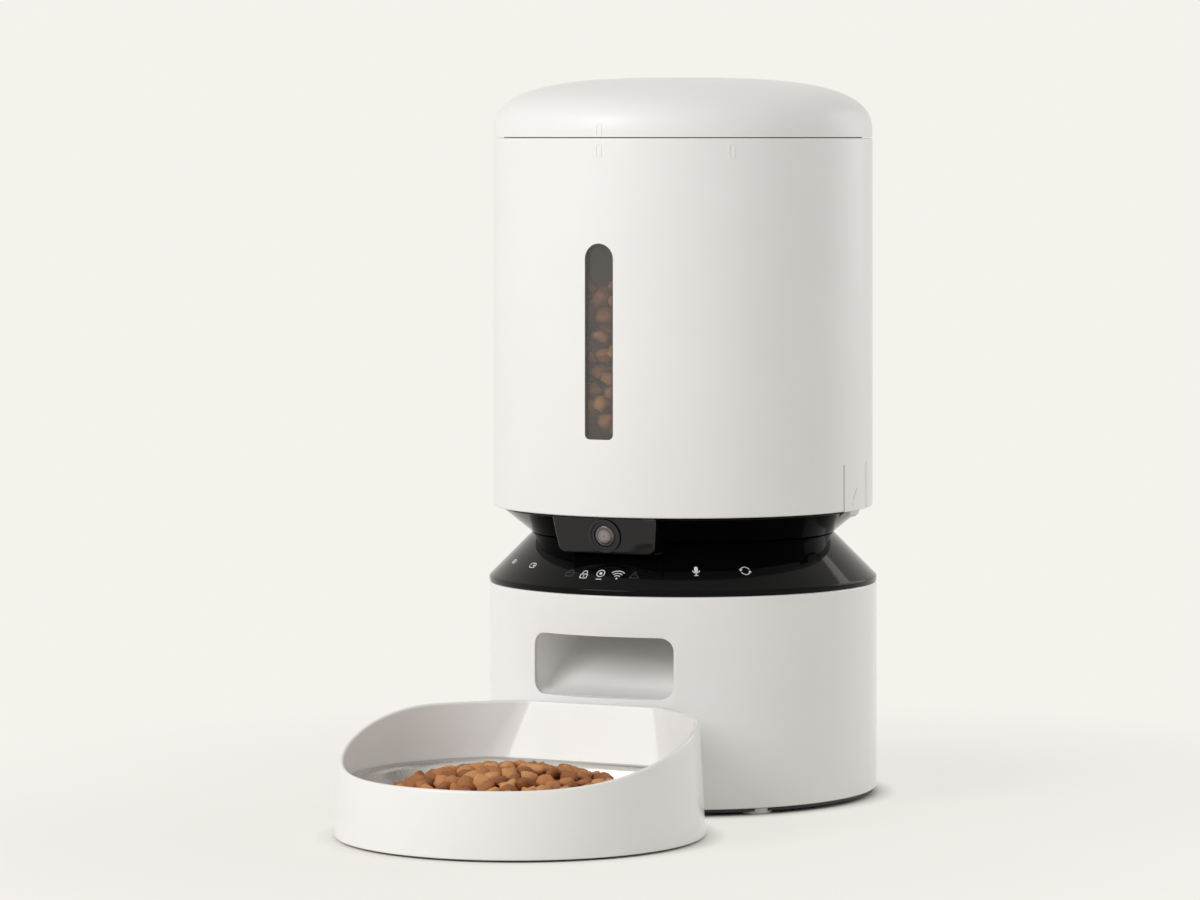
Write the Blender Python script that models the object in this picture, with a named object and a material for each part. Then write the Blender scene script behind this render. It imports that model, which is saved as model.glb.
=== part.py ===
"""Pet feeder with camera: round hopper on a base, with a bowl tray in front.

Every solid is built around the upright axis of the round body, front towards -Y,
and hangs on one empty that puts the middle of the whole feeder over the origin.
All lengths are metres.
"""
import math

import bmesh
import bpy
from mathutils import Matrix, Vector

# General fits and faceting
CLEARANCE = 0.0003
OVERRUN = 0.0030
MERGE = 0.000001
ROUND_STEPS = 48
SMALL_STEPS = 16
FILLET_STEPS = 2
SMOOTH_ANGLE = math.radians(32)

# Base shell
BASE_RADIUS = 0.0970
BASE_WALL = 0.0025
BASE_GAP = 0.0032
BASE_SHELL_HEIGHT = 0.1026
BASE_EDGE = 0.0008
SHELL_LIP_WIDTH = 0.0085
SHELL_LIP_DEPTH = 0.0025
BOSS_RADIUS = 0.0050
BOSS_BITE = 0.0010
BOSS_HEIGHT = 0.0200

# Base plate, feet and screws
PLATE_BOTTOM = 0.0016
PLATE_SETBACK = 0.0015
PLATE_THICKNESS = 0.0039
FOOT_RADIUS = 0.0085
FOOT_EDGE = 0.0012
FOOT_RING_RADIUS = 0.0873
FOOT_ANGLES = (-131.0, -49.0, 49.0, 131.0)
SCREW_HEAD_RADIUS = 0.0030
SCREW_HEAD_HEIGHT = 0.0018
SCREW_SHANK_RADIUS = 0.0013
SCREW_LENGTH = 0.0130
SCREW_ANGLES = (-105.0, -25.0, 25.0, 105.0)

# Battery bay in the base plate
BAY_HALF_WIDTH = 0.0510
BAY_FRONT = 0.0080
BAY_LENGTH = 0.0620
BAY_HEIGHT = 0.0370
BAY_WALL = 0.0020
BAY_CORNER = 0.0040
COVER_MARGIN = 0.0015
COVER_GRIP_WIDTH = 0.0300
COVER_GRIP_LENGTH = 0.0060
COVER_GRIP_DEPTH = 0.0006
COVER_GRIP_INSET = 0.0120
CONTACT_HALF_WIDTH = 0.0460
CONTACT_HEIGHT = 0.0200
CONTACT_THICKNESS = 0.0006
CONTACT_BUMP = 0.0022
CONTACT_BUMP_RADIUS = 0.0050
CELL_PITCH = 0.0335
POST_RADIUS = 0.0030
POST_HEIGHT = 0.0040

# Black control panel and neck collar
PANEL_HEIGHT = 0.0239
PANEL_RIM_DEPTH = 0.0024
PANEL_RIM_ROUND = 0.0012
PANEL_WALL = 0.0035
WAIST_RADIUS = 0.0755
COLLAR_RADIUS = 0.0915
COLLAR_HEIGHT = 0.0129
COLLAR_EDGE = 0.0006
COLLAR_RIM_WIDTH = 0.0075
DECK_DROP = 0.0012
DECK_THICKNESS = 0.0030
NECK_WELL_DEPTH = 0.0090
NECK_WELL_GAP = 0.0020
NECK_WELL_WALL = 0.0020
CATCH_WIDTH = 0.0100
CATCH_HEIGHT = 0.0032
CATCH_REACH = 0.0022

# Camera in the waist
CAMERA_REACH = 0.0900
CAMERA_TILT = math.radians(12.0)
CAMERA_HEIGHT = 0.0182
CAMERA_DEPTH = 0.0260
CAMERA_TOP_HALF = 0.0280
CAMERA_BOTTOM_HALF = 0.0255
CAMERA_CORNER = 0.0040
CAMERA_EDGE = 0.0007
LENS_DROP = 0.0092
BEZEL_RADIUS = 0.0085
BEZEL_BARREL_RADIUS = 0.0072
BEZEL_PROUD = 0.0008
BEZEL_LENGTH = 0.0100
LENS_RADIUS = 0.0050
LENS_THICKNESS = 0.0020
LENS_BULGE = 0.0008
LENS_INSET = 0.0010
LENS_RING_SHARE = 0.6
APERTURE_RADIUS = 0.0036
BOARD_HALF_WIDTH = 0.0215
BOARD_HALF_HEIGHT = 0.0062
BOARD_THICKNESS = 0.0016
BOARD_SHELF = 0.0020
BOARD_INSET = 0.0015
SENSOR_HALF = 0.0038
CAMERA_POCKET = 0.0135
SENSOR_DEPTH = 0.0030
MICROPHONE_RADIUS = 0.0030
MICROPHONE_DEPTH = 0.0030
MICROPHONE_OFFSET = 0.0140

# Food outlet and chute
OUTLET_HALF_WIDTH = 0.0225
OUTLET_NEAR = 0.0260
OUTLET_DEPTH = 0.0240
OUTLET_CORNER = 0.0050
CHUTE_WALL = 0.0018
CHUTE_SPARE = 0.0015
THROAT_SETBACK = 0.0072
OPENING_HALF_WIDTH = 0.0376
OPENING_BOTTOM = 0.0563
OPENING_HEIGHT = 0.0298
OPENING_CORNER = 0.0065
CHUTE_RECESS = 0.0005
CHUTE_DROP = 0.0170

# Drive
DRIVE_MODULE = 0.0010
DRIVE_TEETH = 36
PINION_TEETH = 12
GEAR_BACKLASH = 0.0003
ADDENDUM_SHARE = 0.9
DEDENDUM_SHARE = 1.2
TOOTH_ROOT_SHARE = 0.36
TOOTH_TIP_SHARE = 0.12
GEAR_WIDTH = 0.0070
GEARBOX_WALL = 0.0020
GEARBOX_HEIGHT = 0.0217
GEARBOX_ROOM = 0.0010
GEARBOX_CORNER = 0.0060
GEAR_BOSS_HEIGHT = 0.0015
SHAFT_RADIUS = 0.0037
SHAFT_HEAD_RADIUS = 0.0080
SHAFT_HEAD_RISE = 0.0005
HEX_RADIUS = 0.0058
HEX_HEIGHT = 0.0080
HEX_CLEARANCE = 0.0004
MOTOR_RADIUS = 0.0130
MOTOR_LENGTH = 0.0380
MOTOR_EDGE = 0.0010
MOTOR_SHAFT_RADIUS = 0.0015
MOTOR_SHAFT_LENGTH = 0.0090

# Electrics in the base
MAIN_BOARD_THICKNESS = 0.0016
MAIN_BOARD_MARGIN = 0.0060
CHIP_HALF = 0.0090
CHIP_HEIGHT = 0.0018
SPEAKER_RADIUS = 0.0180
SPEAKER_HEIGHT = 0.0090
SPEAKER_MAGNET_RADIUS = 0.0100
SPEAKER_X = -0.0520
SPEAKER_Y = -0.0300
SPEAKER_SLOT_WIDTH = 0.0016
SPEAKER_SLOT_PITCH = 0.0050
SPEAKER_SLOT_LENGTH = 0.0200
SPEAKER_SLOTS = 5
INLET_HEIGHT = 0.0220
INLET_NOSE_RADIUS = 0.0050
INLET_FLANGE_RADIUS = 0.0065
INLET_LENGTH = 0.0110
INLET_BORE_RADIUS = 0.0030
INLET_BORE_DEPTH = 0.0080
INLET_PIN_RADIUS = 0.0010
INLET_RECESS = 0.0006

# Hopper
HOPPER_RADIUS = 0.0950
HOPPER_WALL = 0.0025
HOPPER_HEIGHT = 0.1835
HOPPER_EDGE = 0.0008
HOPPER_FLANGE_THICKNESS = 0.0022
WINDOW_WIDTH = 0.0152
WINDOW_BOTTOM = 0.0375
WINDOW_HEIGHT = 0.0950
WINDOW_CORNER = 0.0025
WINDOW_RECESS = 0.0003
TAB_WIDTH = 0.0262
TAB_HEIGHT = 0.0230
TAB_SLIT = 0.0009
TAB_RELIEF = 0.0050

# Funnel, rotor and shield in the hopper
FUNNEL_WALL = 0.0020
FUNNEL_FLOOR = 0.0022
FUNNEL_GAP = 0.0010
FUNNEL_SHOULDER_WIDTH = 0.0035
CHAMBER_RADIUS = 0.0570
CHAMBER_HEIGHT = 0.0215
FUNNEL_HEIGHT = 0.0228
LEDGE_WIDTH = 0.0028
HUB_RADIUS = 0.0130
HUB_HEIGHT = 0.0185
HUB_NECK_RADIUS = 0.0090
HUB_FLANGE_RADIUS = 0.0160
HUB_FLANGE_HEIGHT = 0.0020
VANE_COUNT = 6
VANE_THICKNESS = 0.0024
VANE_TIP_GAP = 0.0012
VANE_SLEEVE = 0.0025
STIRRER_RADIUS = 0.0120
STIRRER_TIP_RADIUS = 0.0035
STIRRER_HEIGHT = 0.0200
FINGER_REACH = 0.0330
FINGER_WIDTH = 0.0060
FINGER_THICKNESS = 0.0040
FINGER_RISE = 0.0070
SHIELD_THICKNESS = 0.0020
SHIELD_INNER = 0.0175
SHIELD_HALF_ANGLE = math.radians(48.0)

# Lid
LID_GAP = 0.0007
LID_HEIGHT = 0.0295
LID_WALL = 0.0024
LID_CROWN_POWER = 2.95
LID_CROWN_STEPS = 8
LID_INNER_STEPS = 5
LID_SHOULDER = 0.0026
LID_SHOULDER_WIDTH = 0.0026
LINER_THICKNESS = 0.0020
LINER_SKIRT_RADIUS = 0.0898
LINER_SKIRT_WALL = 0.0020
LINER_SKIRT_DEPTH = 0.0115
LINER_BEAD = 0.0014
LINER_BEAD_HEIGHT = 0.0022
SEAL_HEIGHT = 0.0046
SEAL_GAP = 0.0004
SEAL_GROOVE = 0.0007
POCKET_RADIUS = 0.0320
POCKET_WALL = 0.0018
POCKET_DEPTH = 0.0140
VENT_COUNT = 8
VENT_WIDTH = 0.0022
VENT_INNER = 0.0080
VENT_LENGTH = 0.0160
CAP_THICKNESS = 0.0018
CAP_SKIRT = 0.0060
CAP_WALL = 0.0015

# Bowl tray
TRAY_FRONT_RADIUS = 0.0870
TRAY_REACH = 0.1670
TRAY_BACK_HALF = 0.0520
TRAY_BACK_CORNER = 0.0090
TRAY_DRAFT = math.tan(math.radians(3.2))
TRAY_WALL = 0.0024
TRAY_STAND = 0.0010
TRAY_FOOT_ROUND = 0.0010
TRAY_FRONT_HEIGHT = 0.0320
TRAY_BACK_HEIGHT = 0.0540
TRAY_RISE_LENGTH = 0.1340
TRAY_RISE_POWER = 1.12
TRAY_ARC_STEPS = 30
TRAY_CORNER_STEPS = 4
SHELF_HEIGHT = 0.0245
SHELF_WIDTH = 0.0050
WELL_BOTTOM = 0.0020
WELL_DRAFT = 0.0060
PAD_RADIUS = 0.0060
PAD_EDGE = 0.0004
PAD_X = 0.0420
PAD_Y = 0.0380

# Steel bowl
BOWL_BACK_GAP = 0.0140
BOWL_SIDE_GAP = 0.0010
BOWL_CORNER = 0.0240
BOWL_STEEL = 0.0009
BOWL_RIM_ROUND = 0.0013
BOWL_DEPTH = 0.0180
BOWL_SLOPE = 0.0080
BOWL_FOOT_ROUND = 0.0060

# Heights that follow from the stacked sizes
SHELL_TOP = BASE_GAP + BASE_SHELL_HEIGHT
PANEL_BOTTOM = SHELL_TOP + CLEARANCE
WAIST_TOP = PANEL_BOTTOM + PANEL_HEIGHT
COLLAR_BOTTOM = WAIST_TOP + CLEARANCE
COLLAR_TOP = COLLAR_BOTTOM + COLLAR_HEIGHT
DECK_TOP = COLLAR_TOP - DECK_DROP
DECK_BOTTOM = DECK_TOP - DECK_THICKNESS
HOPPER_BOTTOM = COLLAR_TOP + CLEARANCE
HOPPER_TOP = HOPPER_BOTTOM + HOPPER_HEIGHT
NECK_FLOOR_TOP = DECK_TOP - NECK_WELL_DEPTH
NECK_FLOOR_BOTTOM = NECK_FLOOR_TOP - DECK_THICKNESS
FUNNEL_BOTTOM = NECK_FLOOR_TOP + FUNNEL_GAP
FUNNEL_SHOULDER = HOPPER_BOTTOM + HOPPER_FLANGE_THICKNESS + CLEARANCE
CHAMBER_OUTER = CHAMBER_RADIUS + FUNNEL_WALL
SHOULDER_RADIUS = CHAMBER_OUTER + FUNNEL_SHOULDER_WIDTH
WELL_INNER = CHAMBER_OUTER + NECK_WELL_GAP
WELL_OUTER = WELL_INNER + NECK_WELL_WALL
CHAMBER_FLOOR = FUNNEL_BOTTOM + FUNNEL_FLOOR
LEDGE_TOP = CHAMBER_FLOOR + CHAMBER_HEIGHT
LID_BOTTOM = HOPPER_TOP + LID_GAP
LID_TOP = LID_BOTTOM + LID_HEIGHT
PLATE_TOP = PLATE_BOTTOM + PLATE_THICKNESS
GEARBOX_TOP = NECK_FLOOR_BOTTOM - CLEARANCE
GEARBOX_BOTTOM = GEARBOX_TOP - GEARBOX_HEIGHT
GEARBOX_FLOOR = GEARBOX_BOTTOM + GEARBOX_WALL
GEAR_BOTTOM = GEARBOX_FLOOR + GEAR_BOSS_HEIGHT + CLEARANCE
OUTLET_FAR = OUTLET_NEAR + OUTLET_DEPTH
CHUTE_TOP = NECK_FLOOR_BOTTOM - CLEARANCE
BASE_INNER = BASE_RADIUS - BASE_WALL
HOPPER_INNER = HOPPER_RADIUS - HOPPER_WALL
TAB_HINGE = HOPPER_BOTTOM + TAB_HEIGHT
DRIVE_PITCH = DRIVE_MODULE * DRIVE_TEETH / 2
PINION_PITCH = DRIVE_MODULE * PINION_TEETH / 2
MOTOR_Y = DRIVE_PITCH + PINION_PITCH + GEAR_BACKLASH / 2
TRAY_BACK_Y = -(BASE_RADIUS + CLEARANCE)
TRAY_CENTRE_Y = TRAY_BACK_Y - (TRAY_REACH - TRAY_FRONT_RADIUS)
AXIS_Y = (TRAY_REACH + CLEARANCE) / 2

# Sizes shared by the pieces of the base
PLATE_RADIUS = BASE_RADIUS - PLATE_SETBACK
SCREW_RING = BASE_INNER + BOSS_BITE - BOSS_RADIUS
SCREW_BOTTOM = PLATE_BOTTOM + CLEARANCE
BAY_BACK = BAY_FRONT + BAY_LENGTH
BAY_TOP = PLATE_BOTTOM + BAY_HEIGHT
COVER_HALF = BAY_HALF_WIDTH + COVER_MARGIN
COVER_FRONT = BAY_FRONT - COVER_MARGIN
CAMERA_BOTTOM = COLLAR_TOP - CAMERA_HEIGHT
CAMERA_BACK = CAMERA_REACH - CAMERA_DEPTH
CAMERA_MIDDLE = COLLAR_TOP - CAMERA_HEIGHT / 2
LENS_Z = COLLAR_TOP - LENS_DROP
LENS_Y = -(CAMERA_REACH - LENS_DROP * math.tan(CAMERA_TILT))
BOARD_REAR = CAMERA_BACK + BOARD_INSET
BOARD_FACE = BOARD_REAR + BOARD_THICKNESS
GEAR_TOP = GEAR_BOTTOM + GEAR_WIDTH
HEX_BOTTOM = NECK_FLOOR_TOP + SHAFT_HEAD_RISE
HEX_TOP = HEX_BOTTOM + HEX_HEIGHT
HUB_BOTTOM = CHAMBER_FLOOR + CLEARANCE
HUB_TOP = HUB_BOTTOM + HUB_HEIGHT
THROAT_Y = -(math.sqrt(BASE_INNER ** 2 - OPENING_HALF_WIDTH ** 2) - THROAT_SETBACK)

# How the chute bends, as shares of its drop, its run and its change of width
CHUTE_FLOOR_SHARES = ((0.36, 0.0), (0.62, 0.42))
CHUTE_ROOF_SHARES = ((0.45, 0.0), (0.80, 0.35))
CHUTE_STEPS = 5

# Sizes shared by the pieces of the lid and the hopper
SHOULDER_TOP = LID_BOTTOM + LID_SHOULDER
LINER_TOP = SHOULDER_TOP - CLEARANCE
LINER_BOTTOM = LINER_TOP - LINER_THICKNESS
SKIRT_BOTTOM = LINER_BOTTOM - LINER_SKIRT_DEPTH
BEAD_TOP = SKIRT_BOTTOM + LINER_BEAD_HEIGHT
POCKET_BOTTOM = LINER_BOTTOM - POCKET_DEPTH
SAG = math.cos(math.pi / ROUND_STEPS)


def clear_scene():
    """Remove every object that the file already holds."""
    for thing in list(bpy.data.objects):
        bpy.data.objects.remove(thing, do_unlink=True)


def finish(name, colour, roughness, metallic=0.0, alpha=1.0):
    """A plain material from an sRGB hex colour."""
    material = bpy.data.materials.new(name)
    material.use_nodes = True
    shader = material.node_tree.nodes["Principled BSDF"]
    channels = [int(colour[i:i + 2], 16) / 255 for i in (0, 2, 4)]
    linear = [c / 12.92 if c <= 0.04045 else ((c + 0.055) / 1.055) ** 2.4 for c in channels]
    shader.inputs["Base Color"].default_value = (*linear, 1.0)
    shader.inputs["Roughness"].default_value = roughness
    shader.inputs["Metallic"].default_value = metallic
    shader.inputs["Alpha"].default_value = alpha
    return material


def axis_empty(name, parent=None, location=(0, 0, 0)):
    """An empty that carries one moving group and lies on its joint's axis."""
    empty = bpy.data.objects.new(name, None)
    bpy.context.collection.objects.link(empty)
    empty.parent = parent
    empty.location = location
    return empty


def mesh_object(name, bm, parent=None, material=None, smooth=True):
    """Turn a bmesh into a named object with faces pointing out."""
    bmesh.ops.recalc_face_normals(bm, faces=bm.faces)
    mesh = bpy.data.meshes.new(name)
    bm.to_mesh(mesh)
    bm.free()
    if smooth:
        mesh.shade_smooth()
        mesh.set_sharp_from_angle(angle=SMOOTH_ANGLE)
    if material is not None:
        mesh.materials.append(material)
    thing = bpy.data.objects.new(name, mesh)
    bpy.context.collection.objects.link(thing)
    thing.parent = parent
    return thing


def fillet(points, steps=FILLET_STEPS):
    """Round the corners of a closed outline; a point is (u, v) or (u, v, radius)."""
    outline = []
    count = len(points)
    for index, point in enumerate(points):
        radius = point[2] if len(point) > 2 else 0
        here = Vector(point[:2])
        if radius == 0:
            outline.append(here)
            continue
        before = (Vector(points[index - 1][:2]) - here).normalized()
        after = (Vector(points[(index + 1) % count][:2]) - here).normalized()
        half = before.angle(after) / 2
        reach = radius / math.tan(half)
        centre = here + (before + after).normalized() * radius / math.sin(half)
        first = here + before * reach - centre
        turn = first.angle_signed(here + after * reach - centre)
        for step in range(steps + 1):
            angle = -turn * step / steps
            outline.append(centre + Matrix.Rotation(angle, 2) @ first)
    return [(point.x, point.y) for point in outline]


def turned(profile, steps=ROUND_STEPS):
    """Spin a closed (radius, height) outline once round the Z axis."""
    bm = bmesh.new()
    verts = [bm.verts.new((radius, 0, height)) for radius, height in profile]
    edges = [bm.edges.new((verts[i - 1], verts[i])) for i in range(len(verts))]
    bmesh.ops.spin(bm, geom=verts + edges, cent=(0, 0, 0), axis=(0, 0, 1),
                   angle=math.tau, steps=steps, use_merge=True)
    bmesh.ops.remove_doubles(bm, verts=bm.verts, dist=MERGE)
    bmesh.ops.dissolve_degenerate(bm, edges=bm.edges, dist=MERGE)
    return bm


def prism(outline, low, high):
    """Extrude a closed (x, y) outline from one height to another."""
    bm = bmesh.new()
    verts = [bm.verts.new((x, y, low)) for x, y in outline]
    face = bm.faces.new(verts)
    grown = bmesh.ops.extrude_face_region(bm, geom=[face])
    lifted = [item for item in grown["geom"] if isinstance(item, bmesh.types.BMVert)]
    bmesh.ops.translate(bm, verts=lifted, vec=(0, 0, high - low))
    return bm


def rounded_rectangle(half_x, low_y, high_y, radius, steps=FILLET_STEPS):
    """A rectangle outline with equal round corners."""
    corners = [(-half_x, low_y, radius), (half_x, low_y, radius),
               (half_x, high_y, radius), (-half_x, high_y, radius)]
    return fillet(corners, steps)


def circle(radius, steps=SMALL_STEPS, centre=(0, 0), phase=0.0):
    """Points of a circle."""
    return [(centre[0] + radius * math.cos(phase + math.tau * i / steps),
             centre[1] + radius * math.sin(phase + math.tau * i / steps)) for i in range(steps)]


def moved(bm, matrix):
    """Transform a whole bmesh and hand it back."""
    bmesh.ops.transform(bm, matrix=matrix, verts=bm.verts)
    return bm


def upright(bm):
    """Turn a prism so that its outline stands in the XZ plane and its length runs along Y."""
    return moved(bm, Matrix.Rotation(math.radians(90), 4, "X"))


def stitched(loops, close_ends=True):
    """Join loops of equally many points into a closed skin."""
    bm = bmesh.new()
    rings = [[bm.verts.new(point) for point in loop] for loop in loops]
    count = len(rings[0])
    pairs = list(zip(rings, rings[1:]))
    if not close_ends:
        pairs.append((rings[-1], rings[0]))
    for lower, upper in pairs:
        for i in range(count):
            j = (i + 1) % count
            bm.faces.new((lower[i], lower[j], upper[j], upper[i]))
    if close_ends:
        bm.faces.new(list(reversed(rings[0])))
        bm.faces.new(rings[-1])
    return bm


def combine(target, name, bm, operation="DIFFERENCE"):
    """Cut, add or keep a helper shape with an exact Boolean."""
    helper = mesh_object(name, bm, target.parent, smooth=False)
    helper.location = target.location
    helper.hide_render = True
    helper.display_type = "WIRE"
    step = target.modifiers.new(name, "BOOLEAN")
    step.operation = operation
    step.solver = "EXACT"
    step.object = helper
    return step


def round_edges(thing, width, segments=2, angle=math.radians(50)):
    """Soften an object's hard edges."""
    step = thing.modifiers.new("rounded_edges", "BEVEL")
    step.width = width
    step.segments = segments
    step.limit_method = "ANGLE"
    step.angle_limit = angle
    step.use_clamp_overlap = True
    return step


def on_ring(radius, degrees):
    """A place on a ring; zero degrees is the front, positive towards +X."""
    angle = math.radians(degrees)
    return radius * math.sin(angle), -radius * math.cos(angle)


def ring_sector(inner, outer, half_angle, middle_angle, steps=8):
    """Outline of a piece of a ring seen from above; angle zero is +X."""
    angles = [middle_angle - half_angle + 2 * half_angle * i / steps for i in range(steps + 1)]
    outside = [(outer * math.cos(a), outer * math.sin(a)) for a in angles]
    inside = [(inner * math.cos(a), inner * math.sin(a)) for a in reversed(angles)]
    return outside + inside


def along_y(bm, height):
    """Lay an upright prism down so that it runs towards +Y at a height."""
    turn = Matrix.Rotation(math.radians(-90), 4, "X")
    return moved(bm, Matrix.Translation((0, 0, height)) @ turn)


def base_shell(parent, material):
    """White side wall of the base, with the food opening and the screw bosses."""
    lip = BASE_RADIUS - SHELL_LIP_WIDTH
    profile = fillet([
        (BASE_RADIUS, BASE_GAP, BASE_EDGE), (BASE_RADIUS, SHELL_TOP, BASE_EDGE),
        (lip, SHELL_TOP), (lip, SHELL_TOP - SHELL_LIP_DEPTH),
        (BASE_INNER, SHELL_TOP - SHELL_LIP_DEPTH), (BASE_INNER, BASE_GAP)])
    shell = mesh_object("base_shell", turned(profile), parent, material)
    opening = rounded_rectangle(OPENING_HALF_WIDTH, OPENING_BOTTOM,
                                OPENING_BOTTOM + OPENING_HEIGHT, OPENING_CORNER, 4)
    near = math.sqrt(BASE_INNER ** 2 - OPENING_HALF_WIDTH ** 2) - OVERRUN
    combine(shell, "food_opening_cut", upright(prism(opening, near, BASE_RADIUS + OVERRUN)))
    hole = prism(circle(INLET_NOSE_RADIUS + CLEARANCE), BASE_INNER - OVERRUN, BASE_RADIUS + OVERRUN)
    combine(shell, "inlet_cut", along_y(hole, INLET_HEIGHT))
    low = PLATE_TOP + CLEARANCE
    for index, degrees in enumerate(SCREW_ANGLES):
        centre = on_ring(SCREW_RING, degrees)
        boss = prism(circle(BOSS_RADIUS, 10, centre), low, low + BOSS_HEIGHT)
        combine(shell, f"boss_{index + 1}", boss, "UNION")
        bore = prism(circle(SCREW_SHANK_RADIUS + CLEARANCE, 8, centre), low - OVERRUN,
                     SCREW_BOTTOM + SCREW_LENGTH + CLEARANCE)
        combine(shell, f"boss_bore_{index + 1}", bore)
    return shell


def base_plate(parent, material):
    """Dark floor of the base, with the battery bay and the seats of feet, screws and speaker."""
    step_height = BASE_GAP - CLEARANCE
    inside = BASE_INNER - CLEARANCE
    profile = [(0, PLATE_BOTTOM), (PLATE_RADIUS, PLATE_BOTTOM), (PLATE_RADIUS, step_height),
               (inside, step_height), (inside, PLATE_TOP), (0, PLATE_TOP)]
    plate = mesh_object("base_plate", turned(profile), parent, material)
    box = rounded_rectangle(BAY_HALF_WIDTH + BAY_WALL, BAY_FRONT - BAY_WALL,
                            BAY_BACK + BAY_WALL, BAY_CORNER + BAY_WALL)
    combine(plate, "bay_walls", prism(box, step_height, BAY_TOP), "UNION")
    for index, (x, y) in enumerate(post_places()):
        post = prism(circle(POST_RADIUS, 10, (x, y)), BAY_TOP - BAY_WALL / 2, BAY_TOP + POST_HEIGHT)
        combine(plate, f"post_{index + 1}", post, "UNION")
    hollow = rounded_rectangle(BAY_HALF_WIDTH, BAY_FRONT, BAY_BACK, BAY_CORNER)
    combine(plate, "bay_hollow", prism(hollow, PLATE_BOTTOM - OVERRUN, BAY_TOP - BAY_WALL))
    channel = rounded_rectangle(COVER_HALF + CLEARANCE, COVER_FRONT - CLEARANCE,
                                PLATE_RADIUS + OVERRUN, BAY_CORNER)
    combine(plate, "cover_channel", prism(channel, PLATE_BOTTOM - OVERRUN, BASE_GAP))
    for index, degrees in enumerate(FOOT_ANGLES):
        seat = circle(FOOT_RADIUS + CLEARANCE, centre=on_ring(FOOT_RING_RADIUS, degrees))
        combine(plate, f"foot_seat_{index + 1}", prism(seat, PLATE_BOTTOM - OVERRUN, BASE_GAP))
    for index, degrees in enumerate(SCREW_ANGLES):
        centre = on_ring(SCREW_RING, degrees)
        head = prism(circle(SCREW_HEAD_RADIUS + CLEARANCE, 12, centre), PLATE_BOTTOM - OVERRUN,
                     SCREW_BOTTOM + SCREW_HEAD_HEIGHT + CLEARANCE)
        combine(plate, f"screw_seat_{index + 1}", head)
        shank = prism(circle(SCREW_SHANK_RADIUS + CLEARANCE, 8, centre), PLATE_BOTTOM,
                      PLATE_TOP + OVERRUN)
        combine(plate, f"screw_hole_{index + 1}", shank)
    for index in range(SPEAKER_SLOTS):
        x = SPEAKER_X + (index - (SPEAKER_SLOTS - 1) / 2) * SPEAKER_SLOT_PITCH
        slot = [(x + sx * SPEAKER_SLOT_WIDTH / 2, SPEAKER_Y + sy * SPEAKER_SLOT_LENGTH / 2)
                for sx, sy in ((-1, -1), (1, -1), (1, 1), (-1, 1))]
        combine(plate, f"speaker_slot_{index + 1}",
                prism(slot, PLATE_BOTTOM - OVERRUN, PLATE_TOP + OVERRUN))
    return plate


def post_places():
    """Centres of the four posts that carry the main board."""
    x = BAY_HALF_WIDTH - MAIN_BOARD_MARGIN
    return [(sx * x, y) for sx in (-1, 1)
            for y in (BAY_FRONT + MAIN_BOARD_MARGIN, BAY_BACK - MAIN_BOARD_MARGIN)]


def feet(parent, material):
    """Four pale rubber feet in their seats under the rim of the base plate."""
    top = BASE_GAP - CLEARANCE
    profile = fillet([(0, 0), (FOOT_RADIUS, 0, FOOT_EDGE), (FOOT_RADIUS, top), (0, top)])
    for index, degrees in enumerate(FOOT_ANGLES):
        foot = mesh_object(f"foot_{index + 1}", turned(profile, 14), parent, material)
        foot.location = (*on_ring(FOOT_RING_RADIUS, degrees), 0)


def base_screws(parent, material):
    """Four screws that hold the plate to the bosses of the shell."""
    neck = SCREW_BOTTOM + SCREW_HEAD_HEIGHT
    profile = [(0, SCREW_BOTTOM), (SCREW_HEAD_RADIUS, SCREW_BOTTOM), (SCREW_HEAD_RADIUS, neck),
               (SCREW_SHANK_RADIUS, neck), (SCREW_SHANK_RADIUS, SCREW_BOTTOM + SCREW_LENGTH),
               (0, SCREW_BOTTOM + SCREW_LENGTH)]
    for index, degrees in enumerate(SCREW_ANGLES):
        screw = mesh_object(f"base_screw_{index + 1}", turned(profile, 10), parent, material)
        screw.location = (*on_ring(SCREW_RING, degrees), 0)


def battery_cover(parent, material):
    """Sliding hatch under the battery bay; its back edge completes the plate's circle."""
    top = BASE_GAP - CLEARANCE
    outline = rounded_rectangle(COVER_HALF, COVER_FRONT, PLATE_RADIUS + OVERRUN, BAY_CORNER)
    cover = mesh_object("battery_cover", prism(outline, PLATE_BOTTOM, top), parent, material)
    disc = [(0, PLATE_BOTTOM - OVERRUN), (PLATE_RADIUS, PLATE_BOTTOM - OVERRUN),
            (PLATE_RADIUS, top + OVERRUN), (0, top + OVERRUN)]
    combine(cover, "cover_round", turned(disc), "INTERSECT")
    grip_low = COVER_FRONT + COVER_GRIP_INSET
    grip = rounded_rectangle(COVER_GRIP_WIDTH / 2, grip_low, grip_low + COVER_GRIP_LENGTH,
                             COVER_GRIP_LENGTH / 3)
    combine(cover, "cover_grip", prism(grip, PLATE_BOTTOM - OVERRUN,
                                       PLATE_BOTTOM + COVER_GRIP_DEPTH))
    return cover


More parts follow.
